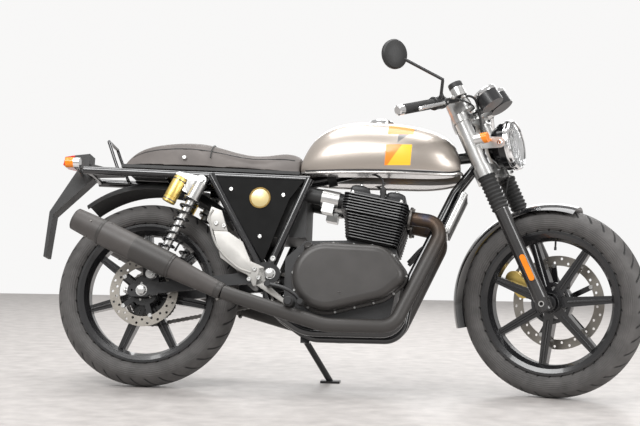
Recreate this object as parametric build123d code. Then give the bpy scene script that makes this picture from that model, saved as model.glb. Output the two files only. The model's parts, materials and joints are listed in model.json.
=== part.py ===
from build123d import *
import os
from math import atan2, cos, degrees, radians, sin, sqrt, tan

# Cafe racer motorcycle with an air-cooled parallel twin, standing on its side stand.
# Millimetres. Each piece is drawn on the upright machine, with its origin on the floor
# below the rear axle, +X forward, +Y to the rider's left and +Z up. The pieces of the
# fork are drawn in the fork's frame: origin on the front axle, Z up the fork legs.

# Driving dimensions of the chassis
WHEELBASE = 1398
RAKE = 24
TRAIL = 106
LEAN = 11.5
STEER = 23
RUNNING_GAP = 0.05
SEAT_GAP = 0.3

# Wheels and tyres
REAR_RADIUS = 319.5
REAR_HALF_WIDTH = 65
REAR_CROWN = 75
REAR_RIM_HALF = 52
FRONT_RADIUS = 318.5
FRONT_HALF_WIDTH = 50
FRONT_CROWN = 56
FRONT_RIM_HALF = 42
BEAD_RADIUS = 229
FLANGE_RADIUS = 242
RIM_INNER_RADIUS = 208
SPOKES = 7
FRONT_SPOKE_PHASE = 3
REAR_SPOKE_PHASE = 144.4
SPOKE_ROOT_WIDTH = 36
SPOKE_TIP_WIDTH = 25
HUB_RADIUS = 34
HUB_HALF = 46
AXLE_RADIUS = 10
AXLE_BORE_RADIUS = 6.5

# Brakes
DISC_THICKNESS = 5
FRONT_DISC_RADIUS = 160
FRONT_DISC_Y = 63
REAR_DISC_RADIUS = 120
REAR_DISC_Y = -72
DISC_BAND = 34
DISC_HOLES = 18
DISC_HOLE_RADIUS = 4.5
CALIPER_SLOT = 16

# Fork and steering head, heights along the fork legs above the front axle
LEG_Y = 102
TUBE_RADIUS = 20.5
SLIDER_RADIUS = 25
SLIDER_TOP = 345
GAITER_TOP = 471
GAITER_RADIUS = 31
GAITER_RIBS = 9
LOWER_YOKE = 488
LOWER_YOKE_THICKNESS = 34
TOP_YOKE = 690
TOP_YOKE_THICKNESS = 26
TUBE_TOP = 712
HEAD_RADIUS = 30
STEM_RADIUS = 16
YOKE_GAP = 1.0
HEADLIGHT_RADIUS = 86
HEADLIGHT_DEPTH = 96
HEADLIGHT_X = 112
HEADLIGHT_Z = 544
HEADLIGHT_TILT = 16
EAR_RADIUS = 27
BAR_RADIUS = 11
GRIP_RADIUS = 16.5
GUARD_RADIUS = 345
GUARD_HALF = 60
GUARD_SHEET = 3
REAR_GUARD_RADIUS = 396

# Engine
CASE_RIGHT = -105
CASE_LEFT = 62
COVER_DEPTH = 74
CYLINDER_X = 770
CYLINDER_Z = 497
CYLINDER_TILT = 11
FIN = 3.2
FIN_PITCH = 9.6
CYLINDER_FINS = 9
HEAD_FINS = 7
PORT_Y = 80

# Exhaust
PIPE_RADIUS = 24
MUFFLER_Y = 222

# Frame and swingarm
FRAME_TUBE = 14
BACKBONE_RADIUS = 20
TANK_TUNNEL_GAP = 12
RAIL_Y = 100
CRADLE_Y = 95
SIDE_TUBE_Y = 124
PIVOT_X = 447
PIVOT_Z = 380
ARM_Y = 99
ARM_HALF = 9
SHOCK_Y = 137
SPRING_RADIUS = 29

# Final drive
CHAIN_Y = 77
REAR_SPROCKET_RADIUS = 96
FRONT_SPROCKET_RADIUS = 38
FRONT_SPROCKET_X = 532
FRONT_SPROCKET_Z = 372
CHAIN_HEIGHT = 14
CHAIN_WIDTH = 18

# Side stand
STAND_PIVOT = (545, 126, 184)
STAND_FOOT_X = 622
STAND_FOOT_Y = 272
STAND_LEG_RADIUS = 11

FORK_OFFSET = FRONT_RADIUS * sin(radians(RAKE)) - TRAIL * cos(radians(RAKE))
FORK = Location((WHEELBASE, 0, FRONT_RADIUS)) * Rot(0, -RAKE, 0)
TURNED_FORK = FORK * Pos(-FORK_OFFSET, 0, 0) * Rot(0, 0, -STEER) * Pos(FORK_OFFSET, 0, 0)


def axis_of(location):
    """The direction of a location's Y axis."""
    return (location * Pos(0, 1, 0)).position - location.position


def lowest_point(location, radius, crown):
    """Height of a round-crowned tyre's lowest point, its axle along the location's Y."""
    slope = axis_of(location).Z
    return location.position.Z - (radius - crown) * sqrt(1 - slope**2) - crown


# Both tyres meet the floor: the machine leans, then pitches a little about its rear wheel.
pitch = 0.0
for _ in range(3):
    leaning = Rot(-LEAN, 0, 0) * Rot(0, pitch, 0)
    rear_low = lowest_point(leaning * Pos(0, 0, REAR_RADIUS), REAR_RADIUS, REAR_CROWN)
    front_low = lowest_point(leaning * TURNED_FORK, FRONT_RADIUS, FRONT_CROWN)
    pitch += degrees(atan2(front_low - rear_low, WHEELBASE * cos(radians(LEAN))))
PARKED = Pos(0, 0, -rear_low) * Rot(-LEAN, 0, 0) * Rot(0, pitch, 0)

chassis = {}
steering = {}
front_wheel = {}
rear_wheel = {}
stand = {}
cap = {}


def box(x0, x1, y0, y1, z0, z1):
    """A block between two corners."""
    return Pos((x0 + x1) / 2, (y0 + y1) / 2, (z0 + z1) / 2) * Box(x1 - x0, y1 - y0, z1 - z0)


def rod(start, end, radius, end_radius=None):
    """A round bar or cone from one point to another."""
    start = Vector(*start)
    end = Vector(*end)
    plane = Plane(origin=(start + end) / 2, z_dir=end - start)
    length = (end - start).length
    if end_radius is None:
        return plane * Cylinder(radius, length)
    return plane * Cone(radius, end_radius, length)


def tube(points, radii, radius):
    """A round tube along straight runs joined by arcs."""
    path = FilletPolyline(*points, radius=radii)
    return sweep(Plane(origin=path @ 0, z_dir=path % 0) * Circle(radius), path=path)


def slab(points, y0, y1):
    """A side outline of points (x, z), extruded from y0 to y1."""
    face = make_face(Polyline(*points, close=True))
    return extrude(Plane.XZ.offset(-y0) * face, -(y1 - y0))


def side_hull(circles, y0, y1):
    """The hull of circles (x, z, radius) in side view, extruded from y0 to y1."""
    edges = Sketch() + [Pos(x, z) * Circle(r) for x, z, r in circles]
    return extrude(Plane.XZ.offset(-y0) * make_hull(edges.edges()), -(y1 - y0))


def plan_hull(circles, z0, z1):
    """The hull of circles (x, y, radius) in plan, extruded from z0 to z1."""
    edges = Sketch() + [Pos(x, y) * Circle(r) for x, y, r in circles]
    return extrude(Pos(0, 0, z0) * make_hull(edges.edges()), z1 - z0)


def turned(points):
    """A ring turned about the Y axis from an outline of points (radius, y)."""
    return revolve(make_face(Polyline(*points, close=True)), axis=Axis.Y)


def both(shape):
    """The shape and its mirror image across the machine's middle."""
    return shape + mirror(shape, Plane.XZ)


# Wheels

def tyre(radius, half_width, crown, rim_half):
    shoulder = radians(52)
    bead_y = rim_half - 6 - SEAT_GAP
    edge = (radius - crown + crown * cos(shoulder), crown * sin(shoulder))
    foot = (FLANGE_RADIUS + 2, bead_y)
    outline = [
        Line((BEAD_RADIUS + SEAT_GAP, -bead_y), (foot[0], -foot[1])),
        ThreePointArc((foot[0], -foot[1]), (FLANGE_RADIUS + 30, -half_width), (edge[0], -edge[1])),
        ThreePointArc((edge[0], -edge[1]), (radius, 0), edge),
        ThreePointArc(edge, (FLANGE_RADIUS + 30, half_width), foot),
        Line(foot, (BEAD_RADIUS + SEAT_GAP, bead_y)),
        Line((BEAD_RADIUS + SEAT_GAP, bead_y), (BEAD_RADIUS + SEAT_GAP, -bead_y)),
    ]
    return revolve(make_face(Wire(outline)), axis=Axis.Y)


def cast_wheel(rim_half, phase):
    """A one-piece wheel with straight tapered spokes."""
    lip = rim_half - 6
    rim = turned([
        (BEAD_RADIUS, -lip), (FLANGE_RADIUS, -lip), (FLANGE_RADIUS, -rim_half),
        (FLANGE_RADIUS - 8, -rim_half), (RIM_INNER_RADIUS + 12, -rim_half + 6), (RIM_INNER_RADIUS, -18),
        (RIM_INNER_RADIUS, 18), (RIM_INNER_RADIUS + 12, rim_half - 6), (FLANGE_RADIUS - 8, rim_half),
        (FLANGE_RADIUS, rim_half), (FLANGE_RADIUS, lip), (BEAD_RADIUS, lip),
    ])
    spoke = loft([
        Plane.YZ.offset(HUB_RADIUS - 6) * Rectangle(46, SPOKE_ROOT_WIDTH),
        Plane.YZ.offset(RIM_INNER_RADIUS + 4) * Rectangle(32, SPOKE_TIP_WIDTH),
    ])
    wheel = rim + Rot(90, 0, 0) * Cylinder(HUB_RADIUS, 2 * HUB_HALF)
    for i in range(SPOKES):
        wheel += Rot(0, -(phase + i * 360 / SPOKES), 0) * spoke
    return wheel


def disc_carrier(disc_radius, disc_y):
    """The dark spider that carries a disc, from the hub out to the disc's inner edge."""
    side = 1 if disc_y > 0 else -1
    inner = disc_radius - DISC_BAND - SEAT_GAP / 2
    low = disc_y - DISC_THICKNESS / 2
    spider = Pos(0, disc_y, 0) * Rot(90, 0, 0) * Cylinder(48, DISC_THICKNESS)
    arm = box(30, inner, low, low + DISC_THICKNESS, -9, 9)
    for i in range(5):
        spider += Rot(0, i * 72, 0) * arm
    spider = spider & Pos(0, disc_y, 0) * Rot(90, 0, 0) * Cylinder(inner, 2 * DISC_THICKNESS)
    stem = Rot(90, 0, 0) * Cylinder(40, abs(disc_y))
    return spider + Pos(0, side * abs(disc_y) / 2, 0) * stem


def brake_disc(disc_radius, disc_y):
    """A drilled brake disc."""
    disc = Rot(90, 0, 0) * (Cylinder(disc_radius, DISC_THICKNESS) - Cylinder(disc_radius - DISC_BAND, 20))
    hole = Rot(90, 0, 0) * Cylinder(DISC_HOLE_RADIUS, 20)
    for i in range(DISC_HOLES):
        for row, turn in ((0.3, 0), (0.7, 0.5)):
            angle = radians((i + turn) * 360 / DISC_HOLES)
            r = disc_radius - DISC_BAND * row
            disc -= Pos(r * cos(angle), 0, r * sin(angle)) * hole
    return Pos(0, disc_y, 0) * disc


axle_hole = Rot(90, 0, 0) * Cylinder(AXLE_RADIUS + RUNNING_GAP, 400)
front_wheel["front_tyre"] = tyre(FRONT_RADIUS, FRONT_HALF_WIDTH, FRONT_CROWN, FRONT_RIM_HALF)
front_wheel["front_wheel_casting"] = (
    cast_wheel(FRONT_RIM_HALF, FRONT_SPOKE_PHASE - RAKE) + disc_carrier(FRONT_DISC_RADIUS, FRONT_DISC_Y) - axle_hole
)
front_wheel["front_brake_disc"] = brake_disc(FRONT_DISC_RADIUS, FRONT_DISC_Y)

REAR_AXLE = Pos(0, 0, REAR_RADIUS)
rear_wheel["rear_tyre"] = REAR_AXLE * tyre(REAR_RADIUS, REAR_HALF_WIDTH, REAR_CROWN, REAR_RIM_HALF)
rear_wheel["rear_wheel_casting"] = REAR_AXLE * (
    cast_wheel(REAR_RIM_HALF, REAR_SPOKE_PHASE) + disc_carrier(REAR_DISC_RADIUS, REAR_DISC_Y) - axle_hole
)
rear_wheel["rear_brake_disc"] = REAR_AXLE * brake_disc(REAR_DISC_RADIUS, REAR_DISC_Y)
sprocket_tip = REAR_SPROCKET_RADIUS - CHAIN_HEIGHT / 2 - 3
sprocket = Rot(90, 0, 0) * Cylinder(sprocket_tip, 6)
rear_wheel["rear_sprocket"] = REAR_AXLE * (
    Pos(0, CHAIN_Y, 0) * sprocket + Pos(0, (HUB_HALF + CHAIN_Y) / 2, 0) * Rot(90, 0, 0)
    * Cylinder(60, CHAIN_Y - HUB_HALF) - axle_hole
)

# Fork, in the fork's frame

steering_axis = Pos(-FORK_OFFSET, 0, 0)


def yoke(middle, thickness):
    plate = plan_hull([(0, LEG_Y, 32), (0, -LEG_Y, 32), (-FORK_OFFSET, 0, 36)],
                      middle - thickness / 2, middle + thickness / 2)
    return plate - plan_hull([(24, 40, 14), (24, -40, 14)], middle - 50, middle + 50)


stem = steering_axis * Pos(0, 0, (LOWER_YOKE + TOP_YOKE) / 2) * Cylinder(STEM_RADIUS, TOP_YOKE - LOWER_YOKE)
fork_tubes = both(Pos(0, LEG_Y, (SLIDER_TOP + TUBE_TOP) / 2) * Cylinder(TUBE_RADIUS, TUBE_TOP - SLIDER_TOP))
yokes = yoke(LOWER_YOKE, LOWER_YOKE_THICKNESS) + yoke(TOP_YOKE, TOP_YOKE_THICKNESS)
steering["yokes_and_tubes"] = yokes + stem + fork_tubes

slider = Pos(0, LEG_Y, (SLIDER_TOP - 25) / 2) * Cylinder(SLIDER_RADIUS, SLIDER_TOP + 25)
axle_lug = Pos(0, LEG_Y, 0) * Rot(90, 0, 0) * Cylinder(24, 40)
front_axle_hole = Rot(90, 0, 0) * Cylinder(AXLE_RADIUS, 400)
steering["fork_sliders"] = both(slider + axle_lug) - front_axle_hole
front_axle = Rot(90, 0, 0) * (Cylinder(AXLE_RADIUS, 2 * LEG_Y + 46) - Cylinder(AXLE_BORE_RADIUS, 400))
steering["front_axle"] = front_axle

rib = (GAITER_TOP - SLIDER_TOP) / GAITER_RIBS
gaiter_outline = [(TUBE_RADIUS + SEAT_GAP, GAITER_TOP), (TUBE_RADIUS + SEAT_GAP, SLIDER_TOP + SEAT_GAP)]
for i in range(GAITER_RIBS):
    gaiter_outline.append((GAITER_RADIUS - 5, SLIDER_TOP + SEAT_GAP + i * rib))
    gaiter_outline.append((GAITER_RADIUS, SLIDER_TOP + (i + 0.5) * rib))
gaiter_outline.append((GAITER_RADIUS - 5, GAITER_TOP))
gaiter_face = Plane.XZ * make_face(Polyline(*gaiter_outline, close=True))
steering["fork_gaiters"] = both(Pos(0, LEG_Y, 0) * revolve(gaiter_face, axis=Axis.Z))

ear_low = LOWER_YOKE + LOWER_YOKE_THICKNESS / 2 + SEAT_GAP
ear_high = TOP_YOKE - TOP_YOKE_THICKNESS / 2 - SEAT_GAP
ear = Pos(0, LEG_Y, (ear_low + ear_high) / 2) * (
    Cylinder(EAR_RADIUS, ear_high - ear_low) - Cylinder(TUBE_RADIUS + SEAT_GAP, 300)
)
ear_arm = side_hull([(24, 590, 22), (HEADLIGHT_X - 22, HEADLIGHT_Z + 12, 18)], HEADLIGHT_RADIUS + 3, HEADLIGHT_RADIUS + 8)
ear_arm -= Pos(0, LEG_Y, 600) * Cylinder(TUBE_RADIUS + SEAT_GAP, 300)
steering["headlight_ears"] = both(ear + ear_arm)

# Headlight, on an axis that points forward and down from the fork's frame
LAMP = Location((HEADLIGHT_X, 0, HEADLIGHT_Z)) * Rot(0, 90 + HEADLIGHT_TILT, 0)


def lamp_outline(points):
    return LAMP * revolve(Plane.XZ * make_face(Polyline(*points, close=True)), axis=Axis.Z)


shell_r = HEADLIGHT_RADIUS - 4
headlight_shell = lamp_outline([
    (0, -HEADLIGHT_DEPTH), (40, -HEADLIGHT_DEPTH + 8), (66, -HEADLIGHT_DEPTH + 30), (shell_r, -40),
    (shell_r, -14), (0, -14),
])
headlight_rim = lamp_outline([
    (HEADLIGHT_RADIUS - 8, -16), (HEADLIGHT_RADIUS, -16), (HEADLIGHT_RADIUS, 0),
    (HEADLIGHT_RADIUS - 5, 5), (HEADLIGHT_RADIUS - 8, 3),
])
lamp_boss = rod((HEADLIGHT_X - 22, HEADLIGHT_RADIUS - 7, HEADLIGHT_Z + 12),
                (HEADLIGHT_X - 22, HEADLIGHT_RADIUS + 3 - SEAT_GAP, HEADLIGHT_Z + 12), 12)
steering["headlight_shell"] = headlight_shell + headlight_rim + both(lamp_boss)
lens_r = HEADLIGHT_RADIUS - 8 - SEAT_GAP
steering["headlight_lens"] = lamp_outline([
    (0, -14 + SEAT_GAP), (lens_r, -14 + SEAT_GAP), (lens_r, 1), (lens_r * 0.7, 8), (lens_r * 0.35, 12), (0, 13),
])

# Instruments: two round pods ahead of the top yoke, on a bracket
pods = Part()
pod_plate = TOP_YOKE + TOP_YOKE_THICKNESS / 2 + SEAT_GAP
for side in (-1, 1):
    pods += Pos(104, side * 47, TOP_YOKE + 32) * Rot(0, -10, 0) * Cylinder(42, 56)
steering["instrument_pods"] = pods + box(-24, 110, -22, 22, pod_plate, pod_plate + 8)

# Clip-on bars: a clamp on each fork tube above the top yoke and a bar swept back
bar_root = (40, LEG_Y + 10, TOP_YOKE + 60)
bar_end = (-84, 372, TOP_YOKE + 50)
GRIP_START = 0.5
bar_direction = Vector(*bar_end) - Vector(*bar_root)
grip_root = Vector(*bar_root) + bar_direction * GRIP_START
clamp = plan_hull([(0, LEG_Y, 30), (40, LEG_Y + 10, 20)], TOP_YOKE + 14, TOP_YOKE + 68)
clamp -= Pos(0, LEG_Y, TOP_YOKE) * Cylinder(TUBE_RADIUS + SEAT_GAP, 50)
grips = both(rod(tuple(grip_root), bar_end, GRIP_RADIUS))
steering["grips"] = grips

# Switch housings, reservoir and levers
housing = rod(tuple(grip_root - bar_direction * 0.16), tuple(grip_root - bar_direction * 0.02), 22)
housing_middle = grip_root - bar_direction * 0.09
lever_root = grip_root - bar_direction * 0.1 + Vector(26, 0, -12)
mirror_root = lever_root + Vector(5, 8, 6)
perch = rod(tuple(housing_middle), tuple(lever_root + Vector(4, 4, 0)), 12)
reservoir_post = Pos(46, -150, TOP_YOKE + 84) * Cylinder(23, 46)
bars = both(clamp + rod(bar_root, bar_end, BAR_RADIUS) + housing + perch) + reservoir_post
steering["clip_on_bars"] = bars - grips - steering["yokes_and_tubes"]
lever = rod(tuple(lever_root), tuple(lever_root + bar_direction * 0.5 + Vector(10, 0, -8)), 6, 5)
steering["hand_levers"] = both(lever) - steering["clip_on_bars"] - grips

# Mirrors: a stalk from each switch housing and an oval head
mirror_bend = (45, 250, TOP_YOKE + 110)
mirror_tip = (-27, 362, TOP_YOKE + 228)
stalk = rod(tuple(mirror_root), mirror_bend, 6) + rod(mirror_bend, mirror_tip, 6) + Pos(*mirror_bend) * Sphere(6)
head = Pos(-34, 366, TOP_YOKE + 232) * Rot(0, -66, 0) * extrude(Ellipse(55, 42), 10, both=True)
steering["mirrors"] = both(stalk + head) - steering["clip_on_bars"]

# Indicators on short stalks beside the headlight
indicator = rod((62, HEADLIGHT_RADIUS + 8, 580), (62, 150, 580), 6)
indicator += Pos(58, 166, 580) * Rot(0, 90 + HEADLIGHT_TILT, 0) * Cylinder(18, 46)

# Front mudguard: a curved sheet round the wheel, carried by a bridge between the sliders
guard_edge = GUARD_RADIUS - 26
guard_face = make_face(Wire([
    ThreePointArc((guard_edge, -GUARD_HALF), (GUARD_RADIUS, 0), (guard_edge, GUARD_HALF)),
    Line((guard_edge, GUARD_HALF), (guard_edge, GUARD_HALF - GUARD_SHEET)),
    ThreePointArc((guard_edge, GUARD_HALF - GUARD_SHEET), (GUARD_RADIUS - GUARD_SHEET, 0),
                  (guard_edge, GUARD_SHEET - GUARD_HALF)),
    Line((guard_edge, GUARD_SHEET - GUARD_HALF), (guard_edge, -GUARD_HALF)),
]))
guard = revolve(guard_face, axis=Axis.Y, revolution_arc=122)
front_guard = Pos(-10, 0, -4) * Rot(0, -169.5, 0) * guard
guard_stay = rod((-330, GUARD_HALF + 4, 60), (-14, LEG_Y - SLIDER_RADIUS - 4, 10), 4)
bridge = box(-6, 6, GUARD_HALF - 4, LEG_Y - SLIDER_RADIUS, 290, 320)
steering["front_mudguard"] = front_guard + both(bridge) - steering["fork_sliders"]

# Front caliper behind the left leg, straddling the disc
caliper = side_hull([(-92, 88, 28), (-108, 138, 28)], FRONT_DISC_Y - 17, FRONT_DISC_Y + 33)
caliper -= box(-400, 400, FRONT_DISC_Y - CALIPER_SLOT / 2, FRONT_DISC_Y + CALIPER_SLOT / 2, -400, 400)
caliper += box(-130, -118, FRONT_DISC_Y - 17, FRONT_DISC_Y + 33, 130, 152)
caliper += side_hull([(-92, 88, 14), (-20, 60, 14)], FRONT_DISC_Y + 20, FRONT_DISC_Y + 33)
steering["front_caliper"] = caliper - steering["fork_sliders"] - brake_disc(FRONT_DISC_RADIUS + 6, FRONT_DISC_Y)

reflector = side_hull([(8, 90, 9), (8, 166, 9)], -LEG_Y - SLIDER_RADIUS - 6, -LEG_Y - SLIDER_RADIUS)
steering["front_indicators"] = both(indicator) + reflector - steering["headlight_ears"]

# Frame

head_axis = FORK * steering_axis
head_low = LOWER_YOKE + LOWER_YOKE_THICKNESS / 2 + YOKE_GAP
head_high = TOP_YOKE - TOP_YOKE_THICKNESS / 2 - YOKE_GAP
head_tube = head_axis * Pos(0, 0, (head_low + head_high) / 2) * Cylinder(HEAD_RADIUS, head_high - head_low)
stem_hole = head_axis * Pos(0, 0, (head_low + head_high) / 2) * Cylinder(STEM_RADIUS + 1, head_high - head_low + 20)
head_mid = (head_axis * Pos(0, 0, head_low + 64)).position
head_foot = (head_axis * Pos(0, 0, head_low + 32)).position
backbone = tube([(head_mid.X, 0, head_mid.Z), (760, 0, 778), (545, 0, 722)], 160, BACKBONE_RADIUS)
downtubes = both(tube(
    [(head_foot.X - 10, 22, head_foot.Z), (1060, 34, 690), (915, CRADLE_Y, 372), (882, CRADLE_Y, 190),
     (560, CRADLE_Y, 190), (440, SIDE_TUBE_Y, 270), (432, SIDE_TUBE_Y, 366)],
    [60, 120, 70, 120, 60], FRAME_TUBE,
))
lug_end = STAND_PIVOT[1] - STAND_LEG_RADIUS - 1 - SEAT_GAP
stand_lug = box(STAND_PIVOT[0] - 16, STAND_PIVOT[0] + 16, CRADLE_Y, lug_end, 174, 200)
chassis["main_frame"] = head_tube + backbone + downtubes + stand_lug - stem_hole

side_triangle = both(
    rod((568, SIDE_TUBE_Y, 712), (432, SIDE_TUBE_Y, 376), FRAME_TUBE)
    + rod((223, SIDE_TUBE_Y, 724), (424, SIDE_TUBE_Y, 376), FRAME_TUBE)
)
pivot_tube = Pos(PIVOT_X, 0, PIVOT_Z) * Rot(90, 0, 0) * Cylinder(12, 2 * SIDE_TUBE_Y + 20)
pivot_plates = both(side_hull([(PIVOT_X, PIVOT_Z, 34), (428, 400, 20)], SIDE_TUBE_Y - FRAME_TUBE + 3, SIDE_TUBE_Y + 16))

rails = both(tube([(566, RAIL_Y, 715), (-95, RAIL_Y, 737), (-235, RAIL_Y, 742)], 600, FRAME_TUBE))
cross = rod((545, -RAIL_Y, 716), (545, RAIL_Y, 716), 14)
rear_cross_z = REAR_RADIUS + 2 + sqrt(REAR_GUARD_RADIUS**2 - 54**2) + 8 + SEAT_GAP
rear_cross = rod((60, -RAIL_Y, rear_cross_z), (60, RAIL_Y, rear_cross_z), 8)
tail_cross = rod((-228, -RAIL_Y, 742), (-228, RAIL_Y, 742), 10)
shock_studs = both(rod((196, RAIL_Y, 700), (196, SHOCK_Y + 16, 700), 9))
stud_gussets = both(box(180, 212, RAIL_Y - 5, RAIL_Y + 5, 692, 724))
grab = both(rod((-118, 66, 742), (-164, 60, 856), 6)) + rod((-164, -60, 856), (-164, 60, 856), 6)
grab += both(rod((-118, 66, 742), (-118, RAIL_Y, 740), 6))
chassis["rear_frame"] = (
    rails + cross + rear_cross + tail_cross + shock_studs + stud_gussets + grab
    + side_triangle + pivot_plates + pivot_tube - chassis["main_frame"]
)

# Swingarm, rear axle, shocks
arm = side_hull([(PIVOT_X, PIVOT_Z, 28), (PIVOT_X - 90, PIVOT_Z - 12, 20)], ARM_Y - ARM_HALF, ARM_Y + ARM_HALF)
arm += side_hull([(PIVOT_X - 90, PIVOT_Z - 12, 20), (-10, REAR_RADIUS, 18)], ARM_Y - ARM_HALF, ARM_Y + ARM_HALF)
arm += side_hull([(10, REAR_RADIUS, 22), (-28, REAR_RADIUS, 22)], ARM_Y - ARM_HALF, ARM_Y + ARM_HALF)
arm_cross = rod((PIVOT_X - 82, -ARM_Y, PIVOT_Z - 11), (PIVOT_X - 82, ARM_Y, PIVOT_Z - 11), 18)
SPOOL = (-34, ARM_Y + ARM_HALF, REAR_RADIUS)
SPOOL_RADIUS = 4
SPOOL_DEPTH = 16
spool_hole = Pos(SPOOL[0], SPOOL[1] - SPOOL_DEPTH / 2, SPOOL[2]) * Rot(90, 0, 0) * Cylinder(SPOOL_RADIUS, SPOOL_DEPTH)
SHOCK_FOOT = (38, REAR_RADIUS + 52)
shock_lug = side_hull([(SHOCK_FOOT[0], SHOCK_FOOT[1], 15), (40, REAR_RADIUS, 18)], ARM_Y - ARM_HALF, ARM_Y + ARM_HALF)
shock_stud = rod((SHOCK_FOOT[0], ARM_Y, SHOCK_FOOT[1]), (SHOCK_FOOT[0], SHOCK_Y + 16, SHOCK_FOOT[1]), 8)
swingarm = both(arm + shock_lug + shock_stud - spool_hole) + arm_cross
axle_bore = REAR_AXLE * Rot(90, 0, 0) * Cylinder(AXLE_RADIUS, 400)
pivot_bore = Pos(PIVOT_X, 0, PIVOT_Z) * Rot(90, 0, 0) * Cylinder(12, 400)
chassis["swingarm"] = swingarm - axle_bore - pivot_bore
rear_axle = REAR_AXLE * Rot(90, 0, 0) * (Cylinder(AXLE_RADIUS, 2 * (ARM_Y + ARM_HALF) + 24))
spacer = rod((0, ARM_Y - ARM_HALF, 0), (0, CHAIN_Y + 5, 0), 16)
right_spacer = rod((0, -ARM_Y + ARM_HALF, 0), (0, REAR_DISC_Y - 4, 0), 16)
chassis["rear_axle"] = rear_axle + REAR_AXLE * (spacer + right_spacer)

shock_top = (196, 700)
shock_length = sqrt((shock_top[0] - SHOCK_FOOT[0]) ** 2 + (shock_top[1] - SHOCK_FOOT[1]) ** 2)
shock_angle = degrees(atan2(shock_top[0] - SHOCK_FOOT[0], shock_top[1] - SHOCK_FOOT[1]))
SHOCK = Location((SHOCK_FOOT[0], SHOCK_Y, SHOCK_FOOT[1])) * Rot(0, shock_angle, 0)
eye = Rot(90, 0, 0) * Cylinder(17, 26)
eye_hole = Rot(90, 0, 0) * Cylinder(9 + SEAT_GAP, 60)
shock_outline = [
    (0, 8), (12, 8), (12, 42), (SPRING_RADIUS, 42), (SPRING_RADIUS, 50), (15, 50),
    (15, shock_length - 70), (22, shock_length - 70), (22, shock_length - 10), (0, shock_length - 10),
]
shock_body = revolve(Plane.XZ * make_face(Polyline(*shock_outline, close=True)), axis=Axis.Z)
shock_body += eye + Pos(0, 0, shock_length) * eye
RESERVOIR_RADIUS = 20
reservoir_mount = box(-62, 0, -8, 8, shock_length - 62, shock_length - 40)
COILS = 9
spring_low = 50 + SEAT_GAP
spring_high = shock_length - 70 - SEAT_GAP
coil_pitch = (spring_high - spring_low) / COILS
spring_outline = [(15 + SEAT_GAP, spring_high), (15 + SEAT_GAP, spring_low)]
for i in range(COILS):
    spring_outline.append((SPRING_RADIUS - 7, spring_low + i * coil_pitch))
    spring_outline.append((SPRING_RADIUS, spring_low + (i + 0.5) * coil_pitch))
spring_outline.append((SPRING_RADIUS - 7, spring_high))
coils = revolve(Plane.XZ * make_face(Polyline(*spring_outline, close=True)), axis=Axis.Z)
reservoir = Pos(-62, 0, shock_length - 98) * Cylinder(RESERVOIR_RADIUS, 110)
shock_body = shock_body + reservoir_mount - eye_hole - Pos(0, 0, shock_length) * eye_hole
coils -= shock_body
chassis["shock_bodies"] = both(SHOCK * (shock_body - reservoir))
chassis["shock_springs"] = both(SHOCK * coils)
chassis["shock_reservoirs"] = both(SHOCK * reservoir)

# Engine
case_outline = [(520, 206), (492, 300), (492, 440), (560, 500), (700, 504), (745, 500), (868, 476), (878, 372), (846, 206)]
crankcase = slab(case_outline, CASE_RIGHT, CASE_LEFT)
crankcase += slab([(640, 206), (640, 500), (745, 500), (868, 476), (878, 372), (846, 206)], CASE_LEFT, -CASE_RIGHT)
crankcase += rod((FRONT_SPROCKET_X, CASE_LEFT - 4, FRONT_SPROCKET_Z), (FRONT_SPROCKET_X, CHAIN_Y + 4, FRONT_SPROCKET_Z),
                 FRONT_SPROCKET_RADIUS - CHAIN_HEIGHT / 2 - SEAT_GAP)
crankcase -= chassis["main_frame"]
chassis["crankcase"] = crankcase
cover_circles = [(640, 372, 115), (790, 388, 93), (862, 379, 40)]
clutch = side_hull(cover_circles, CASE_RIGHT - COVER_DEPTH, CASE_RIGHT)
clutch = fillet(clutch.edges().group_by(Axis.Y)[0], 26)
generator = side_hull([(760, 372, 96), (800, 385, 80)], -CASE_RIGHT, -CASE_RIGHT + 60)
generator = fillet(generator.edges().group_by(Axis.Y)[-1], 24)
drive_cover = side_hull([(560, FRONT_SPROCKET_Z, 78), (612, 350, 60)], CASE_LEFT, 122)
drive_cover -= side_hull([(FRONT_SPROCKET_X, FRONT_SPROCKET_Z, 56), (300, 350, 90)], CASE_LEFT, CHAIN_Y + 18)
drive_cover -= crankcase
chassis["engine_covers"] = clutch + generator + drive_cover - chassis["main_frame"]

CYLINDERS = Location((CYLINDER_X, 0, CYLINDER_Z)) * Rot(0, CYLINDER_TILT, 0)
cylinder_height = CYLINDER_FINS * FIN_PITCH
head_height = HEAD_FINS * FIN_PITCH


def finned_block(core, plate, corner, count, height):
    """A core block with thin plates all round it, standing on z = 0."""
    block = Pos(0, 0, height / 2) * Box(core[0], core[1], height)
    leaf = extrude(RectangleRounded(plate[0], plate[1], corner), FIN)
    for i in range(count):
        block += Pos(0, 0, (i + 0.5) * FIN_PITCH - FIN / 2) * leaf
    return block


cylinder_block = finned_block((128, 236), (164, 280), 20, CYLINDER_FINS, cylinder_height)
cylinder_block += Pos(0, 0, -16) * Box(150, 200, 50)
chassis["cylinder_block"] = CYLINDERS * cylinder_block - chassis["crankcase"]
head_block = finned_block((168, 246), (222, 306), 26, HEAD_FINS, head_height)
for side in (-1, 1):
    head_block += Pos(100, side * PORT_Y, 30) * Rot(0, 90, 0) * Cylinder(28, 40)
    head_block += Pos(-108, side * PORT_Y, 40) * Rot(0, 90, 0) * Cylinder(27, 40)
chassis["cylinder_head"] = CYLINDERS * Pos(0, 0, cylinder_height) * head_block
rocker = Pos(-12, 0, 18) * Box(150, 250, 36)
rocker = fillet(rocker.edges().group_by(Axis.Z)[-1] + rocker.edges().filter_by(Axis.Z), 14)
chassis["cam_cover"] = CYLINDERS * Pos(0, 0, cylinder_height + head_height) * rocker - chassis["main_frame"]

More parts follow.
